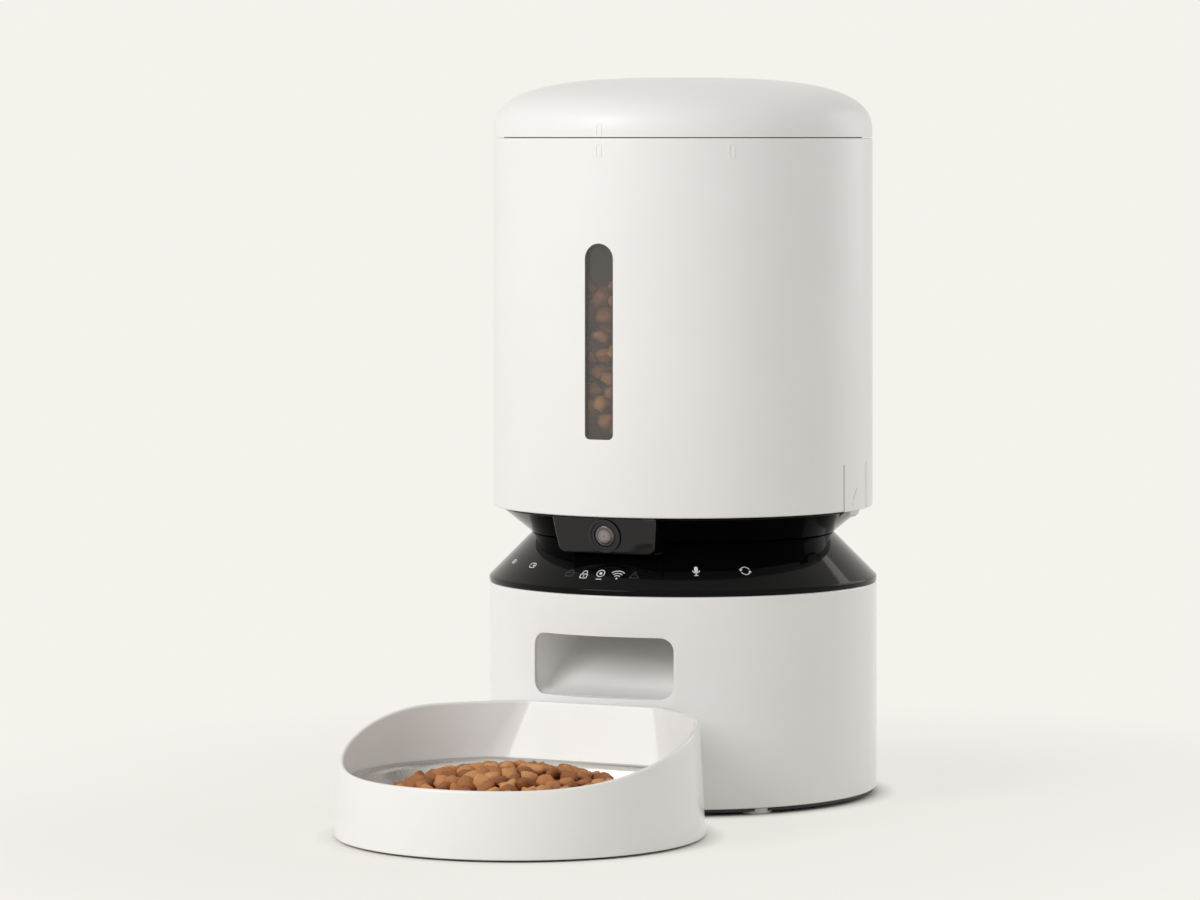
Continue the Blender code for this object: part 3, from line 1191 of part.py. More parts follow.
def d_outline(inset, radius, back_y, corner, corner_x=None):
    """A round front joined to a flat back through two round corners, drawn in by an inset."""
    corner_y = back_y - corner
    rise = corner_y - TRAY_CENTRE_Y
    if corner_x is None:
        corner_x = math.sqrt((radius - corner) ** 2 - rise ** 2)
    distance = math.hypot(corner_x, rise)
    tangent = math.atan2(rise, corner_x) - math.acos(min(1.0, (radius - corner) / distance))
    arcs = [((corner_x, corner_y), corner - inset, math.pi / 2, tangent, TRAY_CORNER_STEPS),
            ((0.0, TRAY_CENTRE_Y), radius - inset, tangent, -math.pi - tangent, TRAY_ARC_STEPS),
            ((-corner_x, corner_y), corner - inset, math.pi - tangent, math.pi / 2,
             TRAY_CORNER_STEPS)]
    points = []
    for centre, reach, start, end, steps in arcs:
        for step in range(steps + 1):
            angle = start + (end - start) * step / steps
            if centre[0] == 0.0 and step in (0, steps):
                continue
            points.append((centre[0] + reach * math.cos(angle), centre[1] + reach * math.sin(angle)))
    return points


def tray_outline(inset):
    """The tray's plan at an inset from its foot line."""
    return d_outline(inset, TRAY_FRONT_RADIUS, TRAY_BACK_Y, TRAY_BACK_CORNER,
                     TRAY_BACK_HALF - TRAY_BACK_CORNER)


def bowl_outline(inset):
    """The bowl's rim in plan, which also sets the tray's shelf and well."""
    radius = TRAY_FRONT_RADIUS - TRAY_BACK_HEIGHT * TRAY_DRAFT - TRAY_WALL - BOWL_SIDE_GAP
    return d_outline(inset, radius, TRAY_BACK_Y - BOWL_BACK_GAP, BOWL_CORNER)


def tray_rim_height(y):
    """The rim rises in one smooth sweep from the front to the back."""
    front = TRAY_BACK_Y - TRAY_REACH
    share = min(1.0, max(0.0, (y - front) / TRAY_RISE_LENGTH)) ** TRAY_RISE_POWER
    return TRAY_FRONT_HEIGHT + (TRAY_BACK_HEIGHT - TRAY_FRONT_HEIGHT) * share * share * (3 - 2 * share)


def tray_rim_loop(wall_share, drop):
    """One loop of the rim: how far in across the wall, and how far below its top."""
    loop = []
    foot = tray_outline(0.0)
    drafted = [tray_outline(tray_rim_height(y) * TRAY_DRAFT + wall_share * TRAY_WALL)[i]
               for i, (x, y) in enumerate(foot)]
    for (x, y), (_, foot_y) in zip(drafted, foot):
        loop.append((x, y, tray_rim_height(foot_y) - drop))
    return loop


def level_loop(outline, height):
    """A loop at one height."""
    return [(x, y, height) for x, y in outline]


def bowl_tray(parent, material):
    """White tray with a rising rim, the shelf that carries the bowl and the well under it."""
    edge = TRAY_WALL / 4
    well = SHELF_WIDTH + WELL_DRAFT
    under = SHELF_HEIGHT - TRAY_WALL
    loops = [
        level_loop(bowl_outline(well), WELL_BOTTOM + TRAY_WALL),
        level_loop(bowl_outline(SHELF_WIDTH), SHELF_HEIGHT),
        level_loop(bowl_outline(-BOWL_SIDE_GAP), SHELF_HEIGHT),
        tray_rim_loop(1.0, edge), tray_rim_loop(0.75, 0.0), tray_rim_loop(0.25, 0.0),
        tray_rim_loop(0.0, edge),
        level_loop(tray_outline(TRAY_FOOT_ROUND * TRAY_DRAFT), TRAY_STAND + TRAY_FOOT_ROUND),
        level_loop(tray_outline(TRAY_FOOT_ROUND / 2), TRAY_STAND),
        level_loop(tray_outline(TRAY_WALL), TRAY_STAND),
        level_loop(tray_outline(TRAY_WALL + under * TRAY_DRAFT), under),
        level_loop(bowl_outline(SHELF_WIDTH - TRAY_WALL), under),
        level_loop(bowl_outline(well - TRAY_WALL), WELL_BOTTOM)]
    skin = moved(stitched(loops), Matrix.Translation((0, -TRAY_CENTRE_Y, 0)))
    return mesh_object("bowl_tray", skin, parent, material)


def tray_pads(parent, material):
    """Four soft pads under the well."""
    top = WELL_BOTTOM - CLEARANCE
    profile = fillet([(0, 0), (PAD_RADIUS, 0, PAD_EDGE), (PAD_RADIUS, top), (0, top)])
    places = [(x, y) for x in (-PAD_X, PAD_X) for y in (-PAD_Y, PAD_Y)]
    for index, (x, y) in enumerate(places):
        pad = mesh_object(f"tray_pad_{index + 1}", turned(profile, 12), parent, material)
        pad.location = (x, y, 0)


def steel_bowl(parent, material):
    """Pressed steel bowl with a rolled rim that rests on the tray's shelf."""
    rim_low = SHELF_HEIGHT + CLEARANCE
    rim_top = rim_low + 2 * BOWL_RIM_ROUND
    floor = rim_top - BOWL_DEPTH
    wall_top = SHELF_WIDTH + 2 * CLEARANCE
    loops = []
    for thickness, order in ((BOWL_STEEL, 1), (0.0, -1)):
        foot = wall_top + BOWL_SLOPE + thickness
        low = floor + thickness
        curve = BOWL_FOOT_ROUND - thickness
        side = [level_loop(bowl_outline(foot + curve * (1 - math.sin(a))),
                           low + curve * (1 - math.cos(a)))
                for a in (math.pi / 2 * step / 2 for step in range(3))]
        shoulder = wall_top + thickness
        side.append(level_loop(bowl_outline(shoulder), rim_low + thickness))
        loops.append(side[::order])
    rim = [level_loop(bowl_outline(wall_top - BOWL_STEEL), rim_top - BOWL_STEEL / 2),
           level_loop(bowl_outline(2 * BOWL_RIM_ROUND), rim_top),
           level_loop(bowl_outline(BOWL_RIM_ROUND), rim_top),
           level_loop(bowl_outline(0.0), rim_low + BOWL_RIM_ROUND),
           level_loop(bowl_outline(BOWL_RIM_ROUND), rim_low)]
    skin = stitched(loops[0] + rim + loops[1])
    return mesh_object("steel_bowl", moved(skin, Matrix.Translation((0, -TRAY_CENTRE_Y, 0))),
                       parent, material)


def build_base(axis, white, black, dark, rubber):
    """Everything that stays with the base."""
    steel = finish("zinc_plated_steel", "B9BCBE", 0.35, 1.0)
    board_green = finish("circuit_board", "1F5A3C", 0.55)
    glass = finish("lens_glass", "0A0A0E", 0.05)
    black_plastic = finish("black_plastic", "1A1A1C", 0.45)
    base_shell(axis, white)
    base_plate(axis, dark)
    feet(axis, rubber)
    base_screws(axis, steel)
    battery_contact("battery_contact_front", axis, steel, BAY_FRONT, 1)
    battery_contact("battery_contact_back", axis, steel, BAY_BACK, -1)
    main_board(axis, board_green)
    speaker(axis, black_plastic)
    dc_inlet(axis, black_plastic)
    control_panel(axis, black)
    neck_collar(axis, black)
    neck_well(axis, dark)
    camera_housing(axis, black)
    camera_bezel(axis, black_plastic)
    camera_lens(axis, glass)
    camera_board(axis, board_green)
    microphone(axis, steel)
    food_chute(axis, white)
    gearbox_case(axis, dark)
    drive_motor(axis, steel)
    door_axis = axis_empty("battery_door_slide", axis)
    battery_cover(door_axis, dark)
    gear_axis = axis_empty("drive_axis", axis)
    acetal = finish("acetal_gears", "E9E6DC", 0.5)
    drive_gear(gear_axis, acetal)
    drive_shaft(gear_axis, acetal)
    motor_pinion(axis_empty("pinion_axis", axis, (0, MOTOR_Y, 0)), acetal)


def build_hopper(axis, white, rubber):
    """Hopper, its tabs and its rotor."""
    smoky = finish("smoky_window", "6E6A66", 0.12, 0.0, 0.6)
    inner_white = finish("inner_white_plastic", "E6E4DF", 0.45)
    soft_grey = finish("grey_silicone", "8F8F90", 0.6)
    hopper_shell(axis, white)
    hopper_window(axis, smoky)
    hopper_funnel(axis, inner_white)
    dosing_chamber(axis, inner_white)
    dosing_shield(axis, inner_white)
    release_tab("release_tab_left", axis, white, -1)
    release_tab("release_tab_right", axis, white, 1)
    rotor_axis = axis_empty("rotor_axis", axis)
    rotor_hub(rotor_axis, inner_white)
    rotor_vanes(rotor_axis, soft_grey)
    stirrer(rotor_axis, inner_white)
    build_lid(axis, white, inner_white, rubber)


def build_lid(axis, white, inner_white, rubber):
    """Lid, liner, seal and drying pocket; the seal stays still while the lid turns."""
    lift_axis = axis_empty("lid_lift_axis", axis)
    lid_seal(lift_axis, rubber)
    turn_axis = axis_empty("lid_turn_axis", lift_axis)
    lid_dome(turn_axis, white)
    lid_liner(turn_axis, inner_white)
    desiccant_cap(axis_empty("cap_axis", turn_axis), inner_white)


def build_tray(axis, white, rubber):
    """Bowl tray with its pads, and the bowl that lifts out."""
    stainless = finish("stainless_steel", "C9CACB", 0.28, 1.0)
    tray_axis = axis_empty("tray_slide_axis", axis, (0, TRAY_CENTRE_Y, 0))
    bowl_tray(tray_axis, white)
    tray_pads(tray_axis, rubber)
    steel_bowl(axis_empty("bowl_lift_axis", tray_axis), stainless)


def main():
    clear_scene()
    white = finish("glossy_white_plastic", "F1F0EC", 0.22)
    black = finish("glossy_black_plastic", "0B0B0D", 0.08)
    dark = finish("dark_grey_plastic", "2A2A2C", 0.5)
    rubber = finish("pale_rubber", "D9D8D2", 0.7)
    axis = axis_empty("feeder_axis", None, (0, AXIS_Y, 0))
    build_base(axis, white, black, dark, rubber)
    build_hopper(axis_empty("hopper_lift_axis", axis), white, rubber)
    build_tray(axis, white, rubber)


main()
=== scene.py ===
"""Looks of a pet feeder with a camera: round hopper on a base, bowl tray in front.

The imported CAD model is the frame. Smooth, detailed pieces stand for its outer nodes,
and every node that still shows gets a procedural material. All lengths are metres.
"""
import math

import bmesh
import bpy
from bpy.props import FloatProperty, FloatVectorProperty, IntProperty, PointerProperty
from mathutils import Matrix, Vector


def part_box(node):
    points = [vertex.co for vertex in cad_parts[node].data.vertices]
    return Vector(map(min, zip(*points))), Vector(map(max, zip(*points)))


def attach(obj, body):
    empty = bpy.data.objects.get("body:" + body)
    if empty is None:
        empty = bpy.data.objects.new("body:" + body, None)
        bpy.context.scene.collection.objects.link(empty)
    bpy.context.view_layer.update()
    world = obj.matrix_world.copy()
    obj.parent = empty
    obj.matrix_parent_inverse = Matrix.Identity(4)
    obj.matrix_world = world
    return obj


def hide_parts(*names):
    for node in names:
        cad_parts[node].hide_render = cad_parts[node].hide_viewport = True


bl_info = {
    "name": "Pet Feeder Looks",
    "version": (1, 0, 0),
    "blender": (4, 5, 0),
    "location": "View3D > Sidebar > Feeder",
    "description": "Shapes and finishes of a pet feeder with a camera",
    "category": "Object",
}

MERGE = 0.000001
MIDDLE_SPAN = (0.3, 0.7)
CLEARANCE = 0.0003
OVERRUN = 0.003
SINK = 0.0003

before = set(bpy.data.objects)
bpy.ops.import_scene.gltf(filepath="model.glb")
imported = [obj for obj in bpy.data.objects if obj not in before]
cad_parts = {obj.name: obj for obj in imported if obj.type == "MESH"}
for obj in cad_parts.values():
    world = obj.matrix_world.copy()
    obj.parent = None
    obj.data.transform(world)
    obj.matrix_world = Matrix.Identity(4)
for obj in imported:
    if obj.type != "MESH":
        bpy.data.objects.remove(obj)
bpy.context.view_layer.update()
LID_LOW, LID_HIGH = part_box("lid_dome")
AXIS_Y = (LID_LOW.y + LID_HIGH.y) / 2
HOPPER_LOW, HOPPER_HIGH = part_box("hopper_shell")
SHELL_LOW, SHELL_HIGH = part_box("base_shell")
PANEL_LOW, PANEL_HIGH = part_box("control_panel")
COLLAR_LOW, COLLAR_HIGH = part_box("neck_collar")
CAMERA_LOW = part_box("camera_housing")[0]

# Scales of the patterns in the finishes
CLOUD_SCALE = 26.0
SMEAR_SCALE = 70.0
HAZE_SCALE = 120.0
CRUMB_SCALE = 700.0
TRACK_SCALE = 260.0
PAPER_SCALE = 400.0

# Round body
HOPPER_RADIUS = LID_HIGH.x
HOPPER_WALL = 0.0025
HOPPER_INNER = HOPPER_RADIUS - HOPPER_WALL
BASE_RADIUS = PANEL_HIGH.x
BASE_WALL = 0.0025
WAIST_RADIUS = 0.0755
COLLAR_RADIUS = 0.0915

# Lid
LID_CROWN_POWER = 2.95
LID_SHOULDER = 0.0026
LID_WALL = 0.0024
SEAM_CLOSED = 0.00025
SEAM_EDGE = 0.0001
LID_MARK_FOOT = 0.0008
LID_MARK_SINK = 0.0004

# Hopper wall and its foot ring
HOPPER_EDGE = 0.0008
HOPPER_FLANGE = 0.0022
HOPPER_FLANGE_RADIUS = 0.0596
HOPPER_CUT_DEPTH = 0.003
TAB_CUT_DEPTH = 0.005

# Window, tabs and marks on the hopper
WINDOW_WIDTH = 0.0152
WINDOW_LOW = HOPPER_LOW.z + 0.0375
WINDOW_HIGH = WINDOW_LOW + 0.0950
WINDOW_CORNER = 0.0025
PANE_SET_BACK = 0.0004
PANE_INNER_GAP = 0.0001
GASKET_SET_BACK = 0.0002
GASKET_GAP = 0.00005
GASKET_LINE = 0.0007
TAB_WIDTH = 0.0262
TAB_HEIGHT = 0.0230
TAB_SLIT = 0.0009
SIGN_WIDTH = 0.0096
SIGN_BASE = 0.0056
SIGN_TIP = 0.0110
SIGN_RISE_SHARE = 1.5
BAR_LOW = 0.0026
BAR_HIGH = 0.0044
MARK_WIDTH = 0.0026
MARK_HEIGHT = 0.0066
MARK_DROP = 0.0062
MARK_LINE = 0.00050
MARK_RISE = 0.00022
MARK_TURN = math.radians(39.8)

# Printed pictograms
INK_LINE = 0.00042
INK_SINK = 0.0002
INK_RISE = 0.00004

# Camera block in the waist
CAMERA_REACH = 0.0900
CAMERA_TILT = math.radians(12.0)
CAMERA_TOP_HALF = 0.0280
CAMERA_BOTTOM_HALF = 0.0255
CAMERA_BACK = 0.0640
CAMERA_TOP = COLLAR_HIGH.z
CAMERA_BOTTOM = CAMERA_LOW.z
LENS_DROP = 0.0092
LENS_GLASS_RADIUS = 0.0053
CAMERA_CORNER = 0.004
CAMERA_EDGE = 0.0009
CAMERA_BORE = 0.0075
CAMERA_BORE_DEPTH = 0.0130
CAMERA_POCKET_HALF = 0.0198
CAMERA_POCKET_HEIGHTS = (0.1300, 0.1382)
CAMERA_POCKET_CORNER = 0.001
CAMERA_POCKET_DEPTH = 0.0135
BEZEL_RADIUS = 0.0085
BEZEL_RISE = 0.0008
GLASS_RADIUS = 0.0051
GLASS_DEPTH = 0.0018

# Bezel's steps as (radius, depth under its face, corner)
BEZEL_STEPS = ((BEZEL_RADIUS, 0.0, 0.0004), (0.0072, 0.0, 0.0001), (0.0070, 0.0004),
               (0.0059, 0.0004), (0.0057, 0.0001, 0.0001), (0.0053, 0.0001), (0.0053, 0.0036),
               (0.0036, 0.0041), (0.0036, 0.0111), (0.0072, 0.0111))

# Black cone and collar of the waist
WAIST_WALL = 0.0035
PANEL_RIM = 0.0024
PANEL_FOOT_EDGE = 0.0003
PANEL_RIM_EDGE = 0.0012
VALLEY_EDGE = 0.0007
COLLAR_EDGE = 0.0006
COLLAR_RIM_WIDTH = 0.0075
DECK_DROP = 0.0012
DECK_WALL = 0.0030
DECK_HOLE = 0.0633
CATCH_HALF = 0.005
CATCH_DROP = 0.0032
CATCH_FLAT = 0.0016
CATCH_REACH = 0.0022

# Base wall
SHELL_EDGE = 0.0008
SHELL_LIP = 0.0085
INLET_RADIUS = 0.0053
INLET_HEIGHT = 0.0220
OPENING_CUT_START = 0.0830

# Front opening of the base
OPENING_HALF = 0.0376
OPENING_BOTTOM = 0.0563
OPENING_HEIGHT = 0.0298
OPENING_CORNER = 0.0065

# Food chute behind the opening
CHUTE_TOP = 0.1297
CHUTE_BEND_TOP = 0.1127
CHUTE_REAR = -0.0227
CHUTE_FRONT = -0.0533
CHUTE_TOP_HALF = 0.0258
CHUTE_WALL = 0.0018
CHUTE_FLOOR_SHARES = ((0.36, 0.0), (0.62, 0.42))
CHUTE_ROOF_SHARES = ((0.45, 0.0), (0.80, 0.35))
THROAT_Y = -0.079498
MOUTH_SPREAD = 0.0016
MOUTH_GAP = 0.0001

# Bowl tray and bowl
TRAY_FRONT_RADIUS = 0.0870
TRAY_REACH = 0.1670
TRAY_BACK_HALF = 0.0520
TRAY_SOFT_CORNER = 0.0130
TRAY_INNER_CORNER = 0.0210
TRAY_DRAFT = math.tan(math.radians(3.2))
TRAY_WALL = 0.0024
TRAY_STAND = 0.0010
TRAY_FOOT_ROUND = 0.0010
TRAY_FRONT_HEIGHT = 0.0320
TRAY_BACK_HEIGHT = 0.0540
TRAY_RISE_LENGTH = 0.1340
TRAY_RISE_POWER = 1.12
TRAY_BACK_Y = -(BASE_RADIUS + CLEARANCE)
TRAY_CENTRE_Y = TRAY_BACK_Y - (TRAY_REACH - TRAY_FRONT_RADIUS)
SHELF_HEIGHT = 0.0245
SHELF_WIDTH = 0.0050
WELL_BOTTOM = 0.0020
WELL_DRAFT = 0.0060
BOWL_BACK_GAP = 0.0140
BOWL_SIDE_GAP = 0.0010
BOWL_CORNER = 0.0240
BOWL_STEEL = 0.0009
BOWL_RIM_ROUND = 0.0013
BOWL_DEPTH = 0.0180
BOWL_SLOPE = 0.0080
BOWL_FOOT_ROUND = 0.0060
BOWL_NECK = 0.0012
SHELF_LEAN = 0.0001
SHELF_SOFT = 0.0004

# Dry food: the heap's layers are (low edge, height, reach)
HEAP_LAYERS = ((0.0135, 0.0040, 0.056), (0.0165, 0.0080, 0.062), (0.0205, 0.0098, 0.056))
HEAP_MIDDLE = (-0.005, TRAY_CENTRE_Y + 0.002)
HEAP_DEPTH_SHARE = 0.86
HEAP_DENSITY = 60000.0
KIBBLE_LEAN = 0.7
KIBBLE_SCALE_SHARES = ((0.86, 0.8, 0.5), (1.08, 1.0, 0.68))
LUMP_SCALE = 210.0
LUMP_DEPTH = 0.0052
STORE_ANGLE = math.radians(12)
STORE_HEIGHTS = (WINDOW_LOW + 0.0040, 0.2180, 0.2560)
STORE_LAYERS = (0.0, 0.0075)
STORE_GAP_SHARE = 0.62
STORE_SEED = 10

# Camera that takes the picture, measured from the round body's axis
VIEW_TURN = math.radians(25.5)
VIEW_DISTANCE = 2.459
VIEW_HEIGHT = 0.3285
VIEW_LENS = 147.12
SENSOR_WIDTH = 36.0
VIEW_SHIFT_X = -0.0692
VIEW_SHIFT_Y = -0.2625

# Floor and lamps
FLOOR_REACH = 4.0
PAPER_GLOW = 0.72
PAPER_CONTACT = (-0.001, 0.010)
PAPER_FADE = (0.04, 0.30)
KEY_PLACE = (-0.95, -2.05, 1.35)
KEY_SIZE = 1.3
FILL_PLACE = (1.2, 1.8, 0.8)
FILL_SIZE = 1.4
AIM = Vector((0.0, AXIS_Y - 0.05, 0.17))


def srgb(code):
    """A linear RGBA colour from an sRGB hex code."""
    channels = [int(code[i:i + 2], 16) / 255 for i in (0, 2, 4)]
    linear = [c / 12.92 if c <= 0.04045 else ((c + 0.055) / 1.055) ** 2.4 for c in channels]
    return (*linear, 1.0)


def colour_property(label, text, code):
    """A colour that the user may change."""
    return FloatVectorProperty(name=label, description=text, subtype="COLOR", size=4,
                               min=0.0, max=1.0, default=srgb(code))


def length_property(label, text, value, low, high):
    """A length that the user may change."""
    return FloatProperty(name=label, description=text, default=value, min=low, max=high,
                         unit="LENGTH", subtype="DISTANCE", precision=5)


class FeederFinishes(bpy.types.PropertyGroup):
    """Colours of the feeder's finishes."""

    white: colour_property("White", "Glossy white plastic of the shells", "F4F3F1")
    black: colour_property("Black", "Glossy black plastic of the waist", "060607")
    smoke: colour_property("Smoke", "Smoky pane of the window", "8F8A84")
    steel: colour_property("Steel", "Stainless steel of the bowl", "C9C7C3")
    print_ink: colour_property("Ink", "Printed pictograms", "E9E9EA")


class FeederShapes(bpy.types.PropertyGroup):
    """Sizes of the smooth skins and their small marks."""

    round_steps: IntProperty(name="Round steps", description="Steps round a turned skin",
                             default=160, min=32, max=256)
    mark_rise: length_property("Mark rise", "How far a moulded mark stands proud",
                               MARK_RISE, 0.00002, 0.0006)
    icon_size: length_property("Icon size", "Height of a printed pictogram", 0.0058,
                               0.002, 0.008)


class FeederKibble(bpy.types.PropertyGroup):
    """Dry food in the bowl and behind the window."""

    piece_size: length_property("Piece size", "Width of one piece of dry food", 0.0102,
                                0.005, 0.015)
    spacing: length_property("Spacing", "Least distance between pieces", 0.0068,
                             0.003, 0.015)
    seed: IntProperty(name="Seed", description="Seed of the heap", default=7, min=0, max=999)


class FeederStage(bpy.types.PropertyGroup):
    """Backdrop and lamps."""

    backdrop: colour_property("Backdrop", "Floor and background", "F5F2EC")
    key_power: FloatProperty(name="Key power", description="Power of the large key lamp",
                             default=30.0, min=0.0, max=500.0, unit="POWER")
    fill_power: FloatProperty(name="Fill power", description="Power of the side lamp",
                              default=9.0, min=0.0, max=500.0, unit="POWER")
    sky: FloatProperty(name="Sky", description="Strength of the even light", default=0.50,
                       min=0.0, max=2.0, subtype="FACTOR")


def add_node(tree, kind, inputs=None, **settings):
    """Add one node with its settings; an input is a constant or another node's output socket."""
    made = tree.nodes.new(kind)
    for name, value in settings.items():
        setattr(made, name, value)
    for key, value in (inputs or {}).items():
        if isinstance(value, bpy.types.NodeSocket):
            tree.links.new(value, made.inputs[key])
        else:
            made.inputs[key].default_value = value
    return made


def maths(tree, operation, first, second=0.0):
    """The result of one sum."""
    return add_node(tree, "ShaderNodeMath", {0: first, 1: second}, operation=operation).outputs[0]


def ramp_stops(node, stops):
    """Set a colour ramp from (place, colour) pairs."""
    elements = node.color_ramp.elements
    while len(elements) > len(stops):
        elements.remove(elements[-1])
    while len(elements) < len(stops):
        elements.new(1.0)
    for element, (place, colour) in zip(elements, stops):
        element.position = place
        element.color = colour


def new_material(name, constants):
    """A node material with the shader's even values already set; hands back both and its tree."""
    material = bpy.data.materials.new(name)
    material.use_nodes = True
    tree = material.node_tree
    shader = tree.nodes["Principled BSDF"]
    for socket, value in constants.items():
        shader.inputs[socket].default_value = value
    return material, tree, shader


def shade(colour, factor):
    """A colour made lighter or darker."""
    return (*[min(1.0, channel * factor) for channel in colour[:3]], 1.0)


def object_place(tree):
    """The point in the object's own coordinates."""
    return add_node(tree, "ShaderNodeTexCoord").outputs["Object"]


def noise(tree, place, scale, detail, roughness=0.5):
    """The value of a noise pattern at a place."""
    made = add_node(tree, "ShaderNodeTexNoise", {"Vector": place, "Scale": scale,
                                                 "Detail": detail, "Roughness": roughness})
    return made.outputs["Fac"]


def toned(tree, shader, factor, stops):
    """Colour a shader by a ramp over a factor."""
    tone = add_node(tree, "ShaderNodeValToRGB", {"Fac": factor})
    ramp_stops(tone, stops)
    tree.links.new(tone.outputs["Color"], shader.inputs["Base Color"])


def glossed(tree, shader, factor, roughness, span=(0.0, 1.0)):
    """Let the roughness run between two values as a factor runs over a span."""
    gloss = add_node(tree, "ShaderNodeMapRange",
                     {"Value": factor, "From Min": span[0], "From Max": span[1],
                      "To Min": roughness[0], "To Max": roughness[1]})
    tree.links.new(gloss.outputs["Result"], shader.inputs["Roughness"])


def bumped(tree, shader, height, strength, distance):
    """Raise a fine texture."""
    bump = add_node(tree, "ShaderNodeBump",
                    {"Height": height, "Strength": strength, "Distance": distance})
    tree.links.new(bump.outputs["Normal"], shader.inputs["Normal"])


def moulded(name, colour, constants, roughness, mottle=0.02, grain=0.0006,
            grain_depth=0.000004):
    """Moulded plastic: faint flow clouds, smears in the gloss and a fine skin texture."""
    material, tree, shader = new_material(name, constants)
    place = object_place(tree)
    toned(tree, shader, noise(tree, place, CLOUD_SCALE, 3.0),
          [(MIDDLE_SPAN[0], shade(colour, 1 - mottle)),
           (MIDDLE_SPAN[1], shade(colour, 1 + mottle / 2))])
    glossed(tree, shader, noise(tree, place, SMEAR_SCALE, 4.0, 0.6), roughness, MIDDLE_SPAN)
    bumped(tree, shader, noise(tree, place, 1 / grain, 2.0), 0.35, grain_depth)
    return material


def brushed_steel(name, colour, roughness=(0.26, 0.32), scratch=(60.0, 1800.0, 1800.0)):
    """Stainless steel with fine rubbing marks and cloudy gloss."""
    material, tree, shader = new_material(name, {"Metallic": 1.0})
    stretched = add_node(tree, "ShaderNodeMapping",
                         {"Vector": object_place(tree), "Scale": scratch})
    marks = noise(tree, stretched.outputs["Vector"], 1.0, 3.0)
    toned(tree, shader, marks, [(0.25, shade(colour, 0.95)), (0.75, shade(colour, 1.03))])
    glossed(tree, shader, marks, roughness, MIDDLE_SPAN)
    bumped(tree, shader, marks, 0.1, 0.000002)
    return material


def smoked_pane(name, colour):
    """Smoky see-through plastic with faint smears."""
    material, tree, shader = new_material(name, {"Alpha": 0.24, "IOR": 1.49})
    haze = noise(tree, object_place(tree), HAZE_SCALE, 3.0)
    toned(tree, shader, haze, [(MIDDLE_SPAN[0], shade(colour, 0.92)),
                               (MIDDLE_SPAN[1], shade(colour, 1.06))])
    glossed(tree, shader, haze, (0.08, 0.16))
    return material


def baked_kibble(name):
    """Baked dry food: each piece has its own brown, with crumbs and pits in its crust."""
    material, tree, shader = new_material(name, {"Specular IOR Level": 0.35,
                                                 "Subsurface Weight": 0.06,
                                                 "Subsurface Scale": 0.002})
    own = add_node(tree, "ShaderNodeAttribute", attribute_name="piece_shade").outputs["Fac"]
    crumbs = noise(tree, object_place(tree), CRUMB_SCALE, 5.0, 0.65)
    total = maths(tree, "ADD", maths(tree, "MULTIPLY", own, 0.65),
                  maths(tree, "MULTIPLY", crumbs, 0.35))
    toned(tree, shader, total,
          [(0.1, srgb("8A5430")), (0.45, srgb("B27646")), (0.65, srgb("C98A55")),
           (0.95, srgb("DCA46E"))])
    glossed(tree, shader, crumbs, (0.5, 0.8))
    bumped(tree, shader, crumbs, 0.6, 0.0006)
    return material


def board_green(name, colour):
    """Solder mask over copper tracks."""
    material, tree, shader = new_material(name, {"Roughness": 0.38})
    tracks = add_node(tree, "ShaderNodeTexBrick",
                      {"Vector": object_place(tree), "Scale": TRACK_SCALE, "Mortar Size": 0.03,
                       "Color1": colour, "Color2": shade(colour, 0.85),
                       "Mortar": shade(colour, 1.9)})
    tree.links.new(tracks.outputs["Color"], shader.inputs["Base Color"])
    bumped(tree, shader, tracks.outputs["Fac"], 0.3, 0.00003)
    return material


def glass_with_painted_reflection(name, dark):
    """Front glass of the camera under a glossy coating: the lens's dark rings, with a pale centre
    and pale rings painted in as the lens's reflections.
    """
    material, tree, shader = new_material(name, {"Roughness": 0.03, "Specular IOR Level": 0.7,
                                                 "Coat Weight": 0.6, "Coat Roughness": 0.02})
    centre = lens_frame().translation
    reach = add_node(tree, "ShaderNodeVectorMath",
                     {0: object_place(tree), 1: (centre.x, centre.y + AXIS_Y, centre.z)},
                     operation="DISTANCE")
    share = add_node(tree, "ShaderNodeMapRange",
                     {"Value": reach.outputs["Value"], "From Max": LENS_GLASS_RADIUS})
    # Painted reflection: the pale centre and the pale grey rings stand for light reflected inside
    # the lens; the dark stops are the lens's own dark rings.
    toned(tree, shader, share.outputs["Result"],
          [(0.0, srgb("A59D99")), (0.14, srgb("5C5654")), (0.30, srgb("8A8380")),
           (0.62, srgb("6E6865")), (0.70, dark), (0.78, srgb("4A4644")),
           (0.92, srgb("5A5552")), (0.97, dark)])
    return material


MATERIALS = {}


